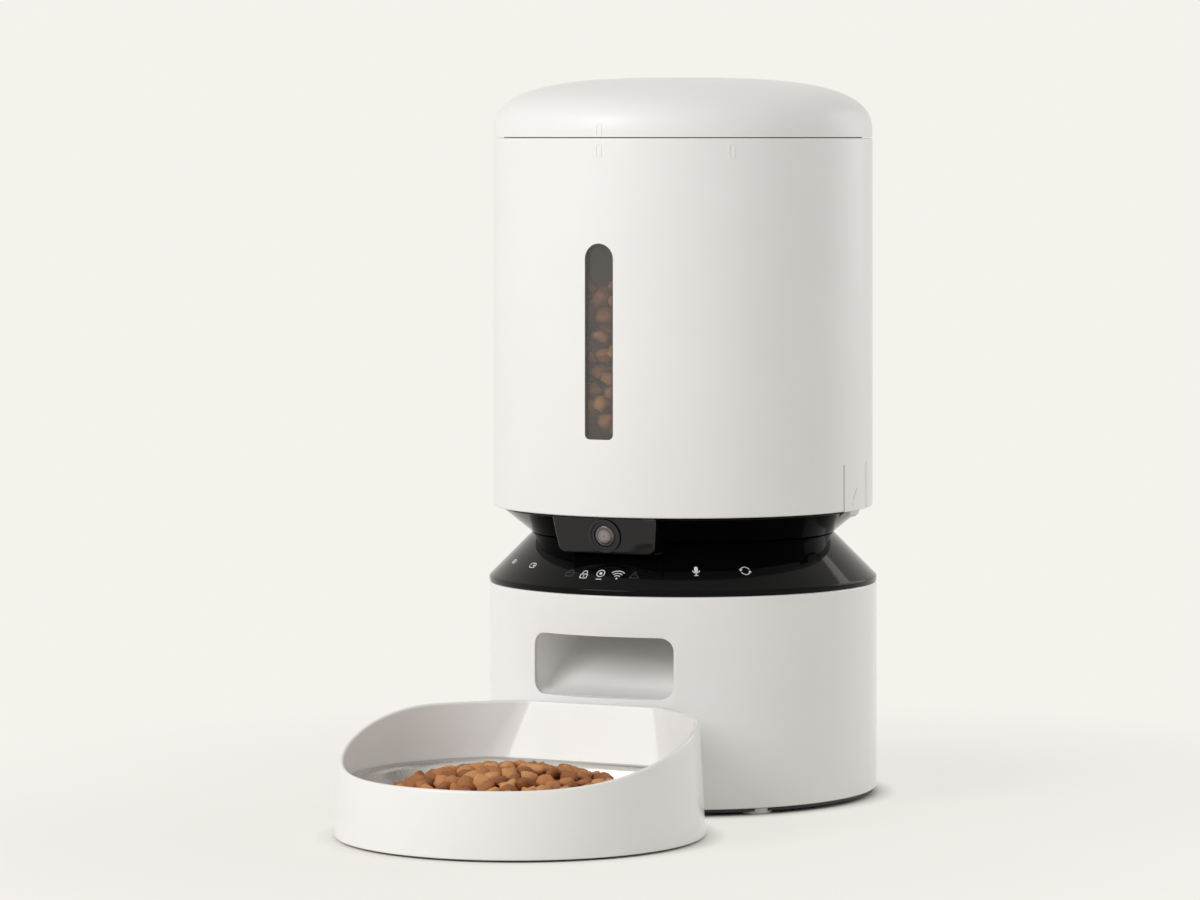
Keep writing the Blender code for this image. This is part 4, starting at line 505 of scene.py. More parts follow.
def make_materials():
    """Every finish of the feeder, by the part's own name for it."""
    finishes = bpy.context.scene.feeder_finishes
    white, black = tuple(finishes.white), tuple(finishes.black)
    soft = {"Subsurface Weight": 0.05, "Subsurface Scale": 0.002}
    MATERIALS.update({
        # Polished white ABS of the base, the tray and the food chute
        "polished_abs": moulded("polished_white_abs", white, {"IOR": 1.5}, (0.16, 0.21), 0.012),
        # Satin white ABS of the hopper wall and the lid
        "satin_abs": moulded("satin_white_abs", white, {"IOR": 1.5, "Specular IOR Level": 0.4},
                             (0.34, 0.42), 0.012),
        # Piano black ABS of the waist
        "piano_black": moulded("piano_black_abs", black, {"Specular IOR Level": 0.1},
                               (0.04, 0.07), 0.15, 0.004, 0.000001),
        # The same black on the camera block, polished to a brighter shine
        "camera_black": moulded("camera_black_abs", black, {"Specular IOR Level": 0.42},
                                (0.05, 0.08), 0.15, 0.004, 0.000001),
        # Satin black ABS of the bezel, the power socket and the speaker
        "satin_black": moulded("satin_black_abs", srgb("17171A"), {}, (0.38, 0.5), 0.1),
        # Spark-eroded dark ABS of the plate, the well, the hatch and the gear case
        "eroded_grey": moulded("eroded_dark_abs", srgb("2A2A2D"), {}, (0.52, 0.64), 0.12,
                               0.0004, 0.00004),
        # Plain white polypropylene of the food path inside the hopper
        "inner_pp": moulded("inner_white_polypropylene", srgb("E9E7E2"), soft, (0.42, 0.52)),
        # Pale silicone rubber of the feet, the pads and the lid's seal
        "pale_silicone": moulded("pale_silicone_rubber", srgb("D6D5D0"), {}, (0.62, 0.75), 0.05,
                                 0.0003, 0.00002),
        # Grey silicone of the rotor's vanes
        "grey_silicone": moulded("grey_silicone_rubber", srgb("8E8E91"), {}, (0.55, 0.7), 0.06),
        # Natural acetal of the gears
        "acetal": moulded("natural_acetal", srgb("ECE9DF"), {}, (0.36, 0.46)),
        # Drawn stainless steel of the bowl
        "bowl_steel": brushed_steel("drawn_stainless_steel", tuple(finishes.steel)),
        # Zinc-plated steel of screws, contacts and the motor's can
        "zinc_steel": brushed_steel("zinc_plated_steel", srgb("B9BCBF"), (0.28, 0.42)),
        # Smoky polycarbonate of the window
        "smoked_pane": smoked_pane("smoked_polycarbonate", tuple(finishes.smoke)),
        # Coated glass of the camera, with the lens's reflections painted into its colour
        "lens_glass": glass_with_painted_reflection("lens_glass_painted_reflection", srgb("050507")),
        # Green circuit boards
        "board": board_green("green_solder_mask", srgb("1D5B3B")),
        # Dry food
        "kibble": baked_kibble("baked_kibble_crust"),
        # White ink of the lit and printed pictograms, and the same when dark
        "ink": moulded("white_pad_ink", tuple(finishes.print_ink), {}, (0.4, 0.5), 0.04),
        "dim_ink": moulded("unlit_grey_ink", srgb("2E2E30"), {}, (0.3, 0.4), 0.08),
        # Dark gasket line round the window
        "gasket": moulded("dark_gasket_rubber", srgb("4A4845"), {}, (0.5, 0.65), 0.1)})


NODE_FINISHES = {
    "satin_black": ("speaker", "dc_inlet"),
    "eroded_grey": ("base_plate", "battery_cover", "gearbox_case", "neck_well"),
    "inner_pp": ("hopper_funnel", "dosing_chamber", "dosing_shield", "rotor_hub", "stirrer",
                 "lid_liner", "desiccant_cap"),
    "pale_silicone": ("lid_seal", "foot_1", "foot_2", "foot_3", "foot_4", "tray_pad_1",
                      "tray_pad_2", "tray_pad_3", "tray_pad_4"),
    "grey_silicone": ("rotor_vanes",),
    "acetal": ("drive_gear", "drive_shaft", "motor_pinion"),
    "zinc_steel": ("base_screw_1", "base_screw_2", "base_screw_3", "base_screw_4", "drive_motor",
                   "battery_contact_front", "battery_contact_back", "microphone"),
    "board": ("main_board", "camera_board"),
}


def fillet(points, steps=6):
    """Round the corners of a closed outline; a point is (u, v) or (u, v, radius)."""
    outline = []
    count = len(points)
    for index, point in enumerate(points):
        radius = point[2] if len(point) > 2 else 0
        here = Vector(point[:2])
        if radius == 0:
            outline.append(here)
            continue
        before = (Vector(points[index - 1][:2]) - here).normalized()
        after = (Vector(points[(index + 1) % count][:2]) - here).normalized()
        half = before.angle(after) / 2
        reach = radius / math.tan(half)
        centre = here + (before + after).normalized() * radius / math.sin(half)
        first = here + before * reach - centre
        turn = first.angle_signed(here + after * reach - centre)
        for step in range(steps + 1):
            outline.append(centre + Matrix.Rotation(-turn * step / steps, 2) @ first)
    return [(point.x, point.y) for point in outline]


def held(outline, margin=0.0004):
    """The closed outline with holding points near the ends of its long sides."""
    points = []
    for index, here in enumerate(outline):
        start, end = Vector(here), Vector(outline[(index + 1) % len(outline)])
        points.append((start.x, start.y))
        length = (end - start).length
        if length > 6 * margin:
            for share in (margin / length, 1 - margin / length):
                middle = start.lerp(end, share)
                points.append((middle.x, middle.y))
    return points


def new_tree(name, inputs, output):
    """A Geometry Nodes tree with named inputs; hands back the tree and its input sockets."""
    tree = bpy.data.node_groups.new(name, "GeometryNodeTree")
    for label, kind in inputs:
        tree.interface.new_socket(label, in_out="INPUT", socket_type=f"NodeSocket{kind}")
    tree.interface.new_socket(output, in_out="OUTPUT", socket_type="NodeSocketGeometry")
    return tree, add_node(tree, "NodeGroupInput").outputs


def close_tree(tree, geometry, material):
    """Smooth the shape, give it its material and lead it out of the tree."""
    smooth = add_node(tree, "GeometryNodeSetShadeSmooth", {"Geometry": geometry})
    coloured = add_node(tree, "GeometryNodeSetMaterial",
                        {"Geometry": smooth.outputs["Geometry"], "Material": material})
    leave = add_node(tree, "NodeGroupOutput")
    tree.links.new(coloured.outputs["Geometry"], leave.inputs[0])
    return tree


def turned_tree():
    """Geometry Nodes that turn a (radius, height) outline once round the upright axis."""
    tree, given = new_tree("turned_skin", (("Outline", "Geometry"), ("Steps", "Int"),
                                           ("Material", "Material")), "Skin")
    count = add_node(tree, "GeometryNodeAttributeDomainSize",
                     {"Geometry": given["Outline"]}).outputs["Point Count"]
    grid = add_node(tree, "GeometryNodeMeshGrid",
                    {"Vertices X": maths(tree, "ADD", given["Steps"], 1.0), "Vertices Y": count})
    index = add_node(tree, "GeometryNodeInputIndex").outputs[0]
    along = maths(tree, "MODULO", index, count)
    around = maths(tree, "FLOOR", maths(tree, "DIVIDE", index, count))
    angle = maths(tree, "MULTIPLY", maths(tree, "DIVIDE", around, given["Steps"]), math.tau)
    place = add_node(tree, "GeometryNodeInputPosition").outputs[0]
    taken = add_node(tree, "GeometryNodeSampleIndex",
                     {"Geometry": given["Outline"], "Value": place, "Index": along},
                     data_type="FLOAT_VECTOR", domain="POINT")
    parts = add_node(tree, "ShaderNodeSeparateXYZ", {"Vector": taken.outputs["Value"]}).outputs
    moved_to = add_node(tree, "ShaderNodeCombineXYZ",
                        {"X": maths(tree, "MULTIPLY", parts["X"], maths(tree, "SINE", angle)),
                         "Y": maths(tree, "MULTIPLY", parts["X"], maths(tree, "COSINE", angle)),
                         "Z": parts["Z"]})
    skin = add_node(tree, "GeometryNodeSetPosition",
                    {"Geometry": grid.outputs["Mesh"], "Position": moved_to.outputs["Vector"]})
    closed = add_node(tree, "GeometryNodeMergeByDistance",
                      {"Geometry": skin.outputs["Geometry"], "Distance": MERGE})
    real = add_node(tree, "GeometryNodeRealizeInstances",
                    {"Geometry": closed.outputs["Geometry"]})
    return close_tree(tree, real.outputs["Geometry"], given["Material"])


def set_input(modifier, name, value):
    """Give a Geometry Nodes modifier one input by the socket's identifier."""
    for item in modifier.node_group.interface.items_tree:
        if item.item_type == "SOCKET" and item.in_out == "INPUT" and item.name == name:
            modifier[item.identifier] = value
            return
    raise RuntimeError(f"the tree {modifier.node_group.name} has no input {name}")


def settled(thing):
    """Take the evaluated shape as the object's own plain mesh and drop its modifiers."""
    bpy.context.view_layer.update()
    graph = bpy.context.evaluated_depsgraph_get()
    mesh = bpy.data.meshes.new_from_object(thing.evaluated_get(graph), depsgraph=graph,
                                           preserve_all_data_layers=True)
    old = thing.data
    thing.modifiers.clear()
    thing.data = mesh
    bpy.data.meshes.remove(old)
    thing.data.name = thing.name
    return thing


def linked(name, mesh):
    """A new object in the scene for a mesh."""
    thing = bpy.data.objects.new(name, mesh)
    bpy.context.scene.collection.objects.link(thing)
    return thing


def outward(thing):
    """Merge doubles and point every face out."""
    bm = bmesh.new()
    bm.from_mesh(thing.data)
    bmesh.ops.remove_doubles(bm, verts=bm.verts, dist=MERGE)
    bmesh.ops.dissolve_degenerate(bm, edges=bm.edges, dist=MERGE)
    bmesh.ops.recalc_face_normals(bm, faces=bm.faces)
    bm.to_mesh(thing.data)
    bm.free()
    return thing


def turned(name, outline, material, steps=None):
    """A smooth turned skin round the body's axis, through the node tree."""
    ring = held(outline)
    ring.append(ring[0])
    mesh = bpy.data.meshes.new(name)
    mesh.from_pydata([(radius, 0, height) for radius, height in ring], [], [])
    thing = linked(name, mesh)
    tree = bpy.data.node_groups.get("turned_skin") or turned_tree()
    modifier = thing.modifiers.new("turned_skin", "NODES")
    modifier.node_group = tree
    set_input(modifier, "Steps", steps or bpy.context.scene.feeder_shapes.round_steps)
    set_input(modifier, "Material", MATERIALS[material])
    return outward(settled(thing))


def from_bmesh(name, bm, material=None):
    """An object from a bmesh, faces out."""
    bmesh.ops.recalc_face_normals(bm, faces=bm.faces)
    mesh = bpy.data.meshes.new(name)
    bm.to_mesh(mesh)
    bm.free()
    mesh.shade_smooth()
    if material:
        mesh.materials.append(MATERIALS[material])
    return linked(name, mesh)


def prism(outline, low, high):
    """Extrude a closed (x, y) outline from one height to another."""
    bm = bmesh.new()
    face = bm.faces.new([bm.verts.new((x, y, low)) for x, y in outline])
    grown = bmesh.ops.extrude_face_region(bm, geom=[face])
    lifted = [item for item in grown["geom"] if isinstance(item, bmesh.types.BMVert)]
    bmesh.ops.translate(bm, verts=lifted, vec=(0, 0, high - low))
    return bm


def changed(bm, matrix):
    """Transform a whole bmesh and hand it back."""
    bmesh.ops.transform(bm, matrix=matrix, verts=bm.verts)
    return bm


def upright(bm):
    """Turn a prism so that its outline stands in the XZ plane and it runs towards -Y."""
    return changed(bm, Matrix.Rotation(math.radians(90), 4, "X"))


def rounded_rectangle(half_x, low_y, high_y, radius, steps=8):
    """A rectangle outline with equal round corners."""
    return fillet([(-half_x, low_y, radius), (half_x, low_y, radius),
                   (half_x, high_y, radius), (-half_x, high_y, radius)], steps)


def circle(radius, steps=48, centre=(0, 0)):
    """Points of a circle."""
    return [(centre[0] + radius * math.cos(math.tau * i / steps),
             centre[1] + radius * math.sin(math.tau * i / steps)) for i in range(steps)]


def stitched(loops, close_ends=True):
    """Join loops of equally many points into a closed skin."""
    bm = bmesh.new()
    rings = [[bm.verts.new(point) for point in loop] for loop in loops]
    count = len(rings[0])
    pairs = list(zip(rings, rings[1:]))
    if not close_ends:
        pairs.append((rings[-1], rings[0]))
    for lower, upper in pairs:
        for i in range(count):
            j = (i + 1) % count
            bm.faces.new((lower[i], lower[j], upper[j], upper[i]))
    if close_ends:
        bm.faces.new(list(reversed(rings[0])))
        bm.faces.new(rings[-1])
    return bm


def combined(thing, helpers, operation="DIFFERENCE"):
    """Cut, add or keep helper shapes with exact Booleans, then settle the mesh."""
    made = []
    for index, bm in enumerate(helpers):
        helper = from_bmesh(f"{thing.name}_tool_{index}", bm)
        step = thing.modifiers.new(helper.name, "BOOLEAN")
        step.operation = operation
        step.solver = "EXACT"
        step.object = helper
        made.append(helper)
    settled(thing)
    for helper in made:
        mesh = helper.data
        bpy.data.objects.remove(helper, do_unlink=True)
        bpy.data.meshes.remove(mesh)
    return thing


def softened(thing, width, segments=3, angle=math.radians(40)):
    """Round an object's hard edges with a live bevel that is then settled."""
    step = thing.modifiers.new("softened", "BEVEL")
    step.width = width
    step.segments = segments
    step.limit_method = "ANGLE"
    step.angle_limit = angle
    step.use_clamp_overlap = True
    step.harden_normals = False
    return settled(thing)


def finished(thing, body, replaces=(), sharp=math.radians(32)):
    """Move a piece from the body's axis to its place, crease it and let it ride."""
    thing.data.transform(Matrix.Translation((0, AXIS_Y, 0)))
    thing.data.shade_smooth()
    thing.data.set_sharp_from_angle(angle=sharp)
    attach(thing, body)
    if replaces:
        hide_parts(*replaces)
    return thing


def arc_points(radius, start, end, steps, centre=(0.0, 0.0)):
    """Points along an arc, angles in degrees anticlockwise from the right."""
    turns = [math.radians(start + (end - start) * i / steps) for i in range(steps + 1)]
    return [(centre[0] + radius * math.cos(t), centre[1] + radius * math.sin(t)) for t in turns]


def stroke(bm, place, points, width, low, high, closed=False):
    """Lay a raised line on a surface; place(u, v, rise) gives a point of it."""
    count = len(points)
    sides = []
    for index, point in enumerate(points):
        here = Vector(point)
        before = Vector(points[index - 1]) if closed or index else here
        after = Vector(points[(index + 1) % count]) if closed or index < count - 1 else here
        first = (here - before).normalized() if (here - before).length else None
        second = (after - here).normalized() if (after - here).length else None
        along = ((first or second) + (second or first)).normalized()
        across = Vector((-along.y, along.x))
        stretch = 1.0
        if first and second:
            stretch = 1 / max(0.5, math.sqrt((1 + first.dot(second)) / 2))
        sides.append((here + across * width / 2 * stretch, here - across * width / 2 * stretch))
    corners = [[bm.verts.new(place(*left, low)), bm.verts.new(place(*right, low)),
                bm.verts.new(place(*right, high)), bm.verts.new(place(*left, high))]
               for left, right in sides]
    last = count if closed else count - 1
    for index in range(last):
        here, after = corners[index], corners[(index + 1) % count]
        for k in range(4):
            bm.faces.new((here[k], here[(k + 1) % 4], after[(k + 1) % 4], after[k]))
    if not closed:
        bm.faces.new(list(reversed(corners[0])))
        bm.faces.new(corners[-1])


def patch(bm, place, points, low, high):
    """Lay a filled shape on a surface."""
    bottom = [bm.verts.new(place(u, v, low)) for u, v in points]
    top = [bm.verts.new(place(u, v, high)) for u, v in points]
    bm.faces.new(list(reversed(bottom)))
    bm.faces.new(top)
    for i in range(len(points)):
        j = (i + 1) % len(points)
        bm.faces.new((bottom[i], bottom[j], top[j], top[i]))


def wall_place(radius, turn, height):
    """Points on the round wall: u runs round it from a bearing, v up from a height."""
    def place(u, v, rise):
        angle = turn + u / radius
        reach = radius + rise
        return (reach * math.sin(angle), -reach * math.cos(angle), height + v)
    return place


def crown(radius, height, bottom, steps):
    """Quarter of a superellipse from the rim of the lid to its top."""
    points = []
    for step in range(steps + 1):
        turn = math.pi / 2 * step / steps
        across = radius * max(0.0, math.cos(turn)) ** (2 / LID_CROWN_POWER)
        points.append((0.0 if step == steps else across,
                       bottom + height * math.sin(turn) ** (2 / LID_CROWN_POWER)))
    return points


class FEEDER_OT_lid(bpy.types.Operator):
    """Make the domed lid with its mark"""

    bl_idname = "feeder.lid"
    bl_label = "Lid"

    def execute(self, context):
        low, high = LID_LOW.z, LID_HIGH.z
        shoulder = low + LID_SHOULDER
        seam = low - SEAM_CLOSED
        outer = [(HOPPER_RADIUS - 3 * SEAM_EDGE, seam),
                 (HOPPER_RADIUS - SEAM_EDGE, seam + SEAM_EDGE)] + [
            point for point in crown(HOPPER_RADIUS, high - low, low, 40)
            if point[1] > low + 2 * SEAM_EDGE]
        inner = crown(HOPPER_INNER - LID_SHOULDER, high - LID_WALL - shoulder, shoulder, 16)
        outline = outer + list(reversed(inner)) + [(HOPPER_INNER, shoulder), (HOPPER_INNER, low)]
        dome = turned("lid_dome_skin", outline, "satin_abs")
        finished(dome, "lid", ["lid_dome"])
        marks = bmesh.new()
        rise = context.scene.feeder_shapes.mark_rise
        place = wall_place(HOPPER_RADIUS, 0.0, low)
        half = MARK_WIDTH / 2
        arch = [(-half, LID_MARK_FOOT), (-half, MARK_HEIGHT - half)]
        arch += arc_points(half, 180, 0, 10, (0, MARK_HEIGHT - half)) + [(half, LID_MARK_FOOT)]
        stroke(marks, crown_place(place), arch, MARK_LINE, -LID_MARK_SINK, rise)
        finished(from_bmesh("lid_mark", marks, "satin_abs"), "lid")
        return {"FINISHED"}


def crown_place(place):
    """The wall's points drawn in to follow the crown of the lid."""
    height = LID_HIGH.z - LID_LOW.z

    def follow(u, v, rise):
        share = min(1.0, max(0.0, v / height))
        turn = math.asin(share ** (LID_CROWN_POWER / 2))
        drawn = HOPPER_RADIUS * (1 - math.cos(turn) ** (2 / LID_CROWN_POWER))
        return place(u, v, rise - drawn)
    return follow


def window_outline(inset, steps=24):
    """Tall window with a full round top and small round lower corners."""
    half = WINDOW_WIDTH / 2 - inset
    low, high = WINDOW_LOW + inset, WINDOW_HIGH - inset
    arc = [(half * math.cos(math.pi * i / steps),
            high - half + half * math.sin(math.pi * i / steps))
           for i in range(steps + 1)]
    base = fillet([(half, high - half), (-half, high - half), (-half, low, WINDOW_CORNER - inset),
                   (half, low, WINDOW_CORNER - inset)])
    return arc + base[2:]


def ring_sector(inner, outer, half_angle, middle, steps):
    """Outline of a piece of a ring seen from above; angle zero is +X."""
    angles = [middle - half_angle + 2 * half_angle * i / steps for i in range(steps + 1)]
    outside = [(outer * math.cos(a), outer * math.sin(a)) for a in angles]
    inside = [(inner * math.cos(a), inner * math.sin(a)) for a in reversed(angles)]
    return outside + inside


def capsule(width, height):
    """Outline of an upright capsule round its middle."""
    half = width / 2
    top = arc_points(half, 0, 180, 12, (0, height / 2 - half))
    return top + arc_points(half, 180, 360, 12, (0, half - height / 2))


def window_block(inset):
    """The window's outline as a block right through the front wall."""
    return upright(prism(window_outline(inset), HOPPER_INNER - HOPPER_CUT_DEPTH,
                         HOPPER_RADIUS + OVERRUN))


class FEEDER_OT_hopper(bpy.types.Operator):
    """Make the hopper wall, its pane, its gasket line and its marks"""

    bl_idname = "feeder.hopper"
    bl_label = "Hopper"

    def execute(self, context):
        low, high = HOPPER_LOW.z, HOPPER_HIGH.z
        flange = low + HOPPER_FLANGE
        outline = fillet([(HOPPER_RADIUS, low, HOPPER_EDGE), (HOPPER_RADIUS, high, HOPPER_EDGE),
                          (HOPPER_INNER, high), (HOPPER_INNER, flange),
                          (HOPPER_FLANGE_RADIUS, flange), (HOPPER_FLANGE_RADIUS, low)])
        shell = turned("hopper_skin", outline, "satin_abs")
        slot = window_block(0.0)
        half = TAB_WIDTH / 2 + TAB_SLIT
        tools = [slot]
        for side in (-1, 1):
            near, far = side * (HOPPER_INNER - TAB_CUT_DEPTH), side * (HOPPER_RADIUS + OVERRUN)
            tools.append(prism([(near, -half), (far, -half), (far, half), (near, half)],
                               low - OVERRUN, low + TAB_HEIGHT))
        combined(shell, tools)
        finished(shell, "hopper", ["hopper_shell"])
        self.pane()
        self.marks(context.scene.feeder_shapes.mark_rise)
        return {"FINISHED"}

    def pane(self):
        """The smoky pane and the dark line of its gasket."""
        half_angle = math.asin(WINDOW_WIDTH / HOPPER_RADIUS)
        for name, set_back, inset, hole, material, slot in (
                ("window_pane", PANE_SET_BACK, GASKET_LINE, None, "smoked_pane", "smoky_pane"),
                ("window_gasket", GASKET_SET_BACK, GASKET_GAP, GASKET_LINE, "gasket",
                 "black_plastic")):
            ring = ring_sector(HOPPER_INNER + PANE_INNER_GAP, HOPPER_RADIUS - set_back,
                               half_angle, math.radians(-90), 40)
            bm = prism(ring, WINDOW_LOW - OVERRUN, WINDOW_HIGH + OVERRUN)
            piece = from_bmesh(name, bm, material)
            combined(piece, [window_block(inset)], "INTERSECT")
            if hole:
                combined(piece, [window_block(hole)])
            finished(piece, "hopper", ["hopper_window"] if hole is None else ())

    def marks(self, rise):
        """Two outlined capsules under the seam, for the lid's open and shut places."""
        height = HOPPER_HIGH.z - MARK_DROP
        for index, turn in enumerate((0.0, MARK_TURN)):
            bm = bmesh.new()
            stroke(bm, wall_place(HOPPER_RADIUS, turn, height), capsule(MARK_WIDTH, MARK_HEIGHT),
                   MARK_LINE, -SINK, rise, closed=True)
            mark = from_bmesh(f"hopper_mark_{index + 1}", bm, "satin_abs")
            finished(mark, "hopper")


class FEEDER_OT_tabs(bpy.types.Operator):
    """Make the two release tabs with their moulded press signs"""

    bl_idname = "feeder.tabs"
    bl_label = "Release tabs"

    def execute(self, context):
        low = HOPPER_LOW.z
        top = low + TAB_HEIGHT
        half_angle = math.asin(TAB_WIDTH / 2 / HOPPER_RADIUS)
        rise = context.scene.feeder_shapes.mark_rise * SIGN_RISE_SHARE
        for side, name in ((-1, "left"), (1, "right")):
            middle = 0.0 if side > 0 else math.pi
            sector = ring_sector(HOPPER_INNER, HOPPER_RADIUS, half_angle, middle, 24)
            tab = from_bmesh(f"release_tab_{name}_skin", prism(sector, low, top), "satin_abs")
            finished(tab, f"tab_{name}", [f"release_tab_{name}"])
            sign = bmesh.new()
            place = wall_place(HOPPER_RADIUS, side * math.pi / 2, low)
            half = SIGN_WIDTH / 2
            patch(sign, place, [(-half, SIGN_BASE), (half, SIGN_BASE), (0.0, SIGN_TIP)],
                  -SINK, rise)
            patch(sign, place, [(-half, BAR_LOW), (half, BAR_LOW), (half, BAR_HIGH),
                                (-half, BAR_HIGH)], -SINK, rise)
            finished(from_bmesh(f"press_sign_{name}", sign, "satin_abs"), f"tab_{name}")
        return {"FINISHED"}


def camera_block(spare=0.0, overrun=0.0, corner=CAMERA_CORNER):
    """The camera housing's outer form: a block with a leaning front and two round corners."""
    top = CAMERA_TOP + overrun
    low = CAMERA_BOTTOM - spare
    height = CAMERA_TOP - CAMERA_BOTTOM
    flare = (CAMERA_TOP_HALF - CAMERA_BOTTOM_HALF) / height
    low_half = CAMERA_BOTTOM_HALF + spare
    top_half = CAMERA_TOP_HALF + spare + flare * overrun
    outline = fillet([(-low_half, low, corner), (low_half, low, corner),
                      (top_half, top), (-top_half, top)], 10)
    lean = math.tan(CAMERA_TILT)
    front = [(x, -(CAMERA_REACH - (CAMERA_TOP - z) * lean + overrun), z) for x, z in outline]
    back = [(x, -CAMERA_BACK + spare, z) for x, z in outline]
    return stitched([front, back])


def lens_frame():
    """The place of the lens on the leaning front; local Z points out of it."""
    turn = Matrix.Rotation(math.radians(90) + CAMERA_TILT, 4, "X")
    ahead = CAMERA_REACH - LENS_DROP * math.tan(CAMERA_TILT)
    return Matrix.Translation((0, -ahead, CAMERA_TOP - LENS_DROP)) @ turn


class FEEDER_OT_camera(bpy.types.Operator):
    """Make the camera block, its stepped bezel and its front glass"""

    bl_idname = "feeder.camera"
    bl_label = "Camera"

    def execute(self, context):
        housing = from_bmesh("camera_housing_skin", camera_block(), "camera_black")
        bore = changed(prism(circle(CAMERA_BORE, 64), -CAMERA_BORE_DEPTH, OVERRUN), lens_frame())
        pocket = upright(prism(
            rounded_rectangle(CAMERA_POCKET_HALF, *CAMERA_POCKET_HEIGHTS, CAMERA_POCKET_CORNER, 2),
            CAMERA_BACK - OVERRUN, CAMERA_BACK + CAMERA_POCKET_DEPTH))
        softened(housing, CAMERA_EDGE, 5)
        combined(housing, [bore, pocket])
        finished(housing, "base", ["camera_housing"])
        self.rings()
        return {"FINISHED"}

    def rings(self):
        """Bezel with stepped rings round a deep bore, and the domed glass in front of the bore."""
        face = CLEARANCE + BEZEL_RISE
        steps = [(BEZEL_RADIUS, CLEARANCE)]
        steps += [(radius, face - drop, *corner) for radius, drop, *corner in BEZEL_STEPS]
        steps.append((BEZEL_STEPS[-1][0], CLEARANCE))
        bezel = turned("camera_bezel_skin", fillet(steps), "satin_black", 64)
        bezel.data.transform(lens_frame())
        finished(bezel, "base", ["camera_bezel"])
        top = face - BEZEL_RISE
        dome = [(GLASS_RADIUS, top - GLASS_DEPTH), (GLASS_RADIUS, top)]
        dome += [(GLASS_RADIUS * math.cos(a), top + BEZEL_RISE * math.sin(a))
                 for a in (math.radians(9 * i) for i in range(1, 11))]
        dome[-1] = (0.0, dome[-1][1])
        glass = turned("camera_glass", dome + [(0.0, top - GLASS_DEPTH)], "lens_glass", 64)
        glass.data.transform(lens_frame())
        finished(glass, "base", ["camera_lens"])


class FEEDER_OT_waist(bpy.types.Operator):
    """Make the glossy black cone and the collar of the waist"""

    bl_idname = "feeder.waist"
    bl_label = "Waist"

    def execute(self, context):
        wall = WAIST_WALL
        low, top = PANEL_LOW.z, PANEL_HIGH.z
        rim = low + PANEL_RIM
        outline = fillet([
            (BASE_RADIUS, low, PANEL_FOOT_EDGE), (BASE_RADIUS, rim, PANEL_RIM_EDGE),
            (WAIST_RADIUS, top, VALLEY_EDGE),
            (WAIST_RADIUS - wall, top), (BASE_RADIUS - wall, rim), (BASE_RADIUS - wall, low)])
        panel = turned("control_panel_skin", outline, "piano_black")
        combined(panel, [camera_block(CLEARANCE, OVERRUN)])
        finished(panel, "base", ["control_panel"])
        low, top = COLLAR_LOW.z, COLLAR_HIGH.z
        slope = (COLLAR_RADIUS - WAIST_RADIUS) / (top - low)
        deck_top, deck_low = top - DECK_DROP, top - DECK_DROP - DECK_WALL
        rim_inner = COLLAR_RADIUS - COLLAR_RIM_WIDTH
        outline = fillet([
            (WAIST_RADIUS, low, VALLEY_EDGE), (COLLAR_RADIUS, top, COLLAR_EDGE), (rim_inner, top),
            (rim_inner, deck_top), (DECK_HOLE, deck_top), (DECK_HOLE, deck_low),
            (WAIST_RADIUS - wall + slope * (deck_low - low), deck_low),
            (WAIST_RADIUS - wall, low)])
        collar = turned("neck_collar_skin", outline, "piano_black")
        catches = []
        for side in (-1, 1):
            root, tip = COLLAR_RADIUS - COLLAR_RIM_WIDTH / 2, COLLAR_RADIUS + CATCH_REACH
            wedge = [(root, top - CATCH_DROP), (COLLAR_RADIUS, top - CATCH_DROP),
                     (tip, top - CATCH_FLAT), (tip, top), (root, top)]
            catches.append(upright(prism([(side * x, z) for x, z in wedge],
                                         -CATCH_HALF, CATCH_HALF)))
        combined(collar, catches, "UNION")
        combined(collar, [camera_block(CLEARANCE, OVERRUN)])
        finished(collar, "base", ["neck_collar"])
        return {"FINISHED"}


def bend(start, end, shares, t):
    """A point of the smooth run from a place in the drop to a place in the throat."""
    (y0, z0), (y3, z3) = start, end
    controls = [(y0, z0)]
    controls += [(y0 + run * (y3 - y0), z0 + drop * (z3 - z0)) for drop, run in shares]
    controls.append((y3, z3))
    weights = ((1 - t) ** 3, 3 * t * (1 - t) ** 2, 3 * t * t * (1 - t), t ** 3)
    return (sum(w * c[0] for w, c in zip(weights, controls)),
            sum(w * c[1] for w, c in zip(weights, controls)))


def chute_loops(inset, steps=28):
    """Sections of the chute from the deck to the front opening, drawn in by the wall."""
    floor = OPENING_BOTTOM
    roof = OPENING_BOTTOM + OPENING_HEIGHT
    end_half = OPENING_HALF
    sections = [((CHUTE_REAR, CHUTE_TOP), (CHUTE_FRONT, CHUTE_TOP), CHUTE_TOP_HALF)]
    for step in range(steps + 1):
        t = step / steps
        low = bend((CHUTE_REAR, CHUTE_BEND_TOP), (THROAT_Y, floor), CHUTE_FLOOR_SHARES, t)
        high = bend((CHUTE_FRONT, CHUTE_BEND_TOP), (THROAT_Y, roof), CHUTE_ROOF_SHARES, t)
        widening = t * t * (3 - 2 * t)
        sections.append((low, high, CHUTE_TOP_HALF + (end_half - CHUTE_TOP_HALF) * widening))
    loops = []
    for low, high, half in sections:
        low, high = Vector(low), Vector(high)
        along = (high - low).normalized()
        outline = rounded_rectangle(half - inset, inset, (high - low).length - inset,
                                    OPENING_CORNER - inset)
        loops.append([(x, (low + along * v).x, (low + along * v).y) for x, v in outline])
    spread = 0.0 if inset else MOUTH_SPREAD
    mouth = rounded_rectangle(end_half + spread, floor - spread, roof + spread,
                              OPENING_CORNER + spread)
    reach = BASE_RADIUS - BASE_WALL - MOUTH_GAP
    loops.append([(x, -math.sqrt(reach ** 2 - x ** 2), z) for x, z in mouth])
    return loops


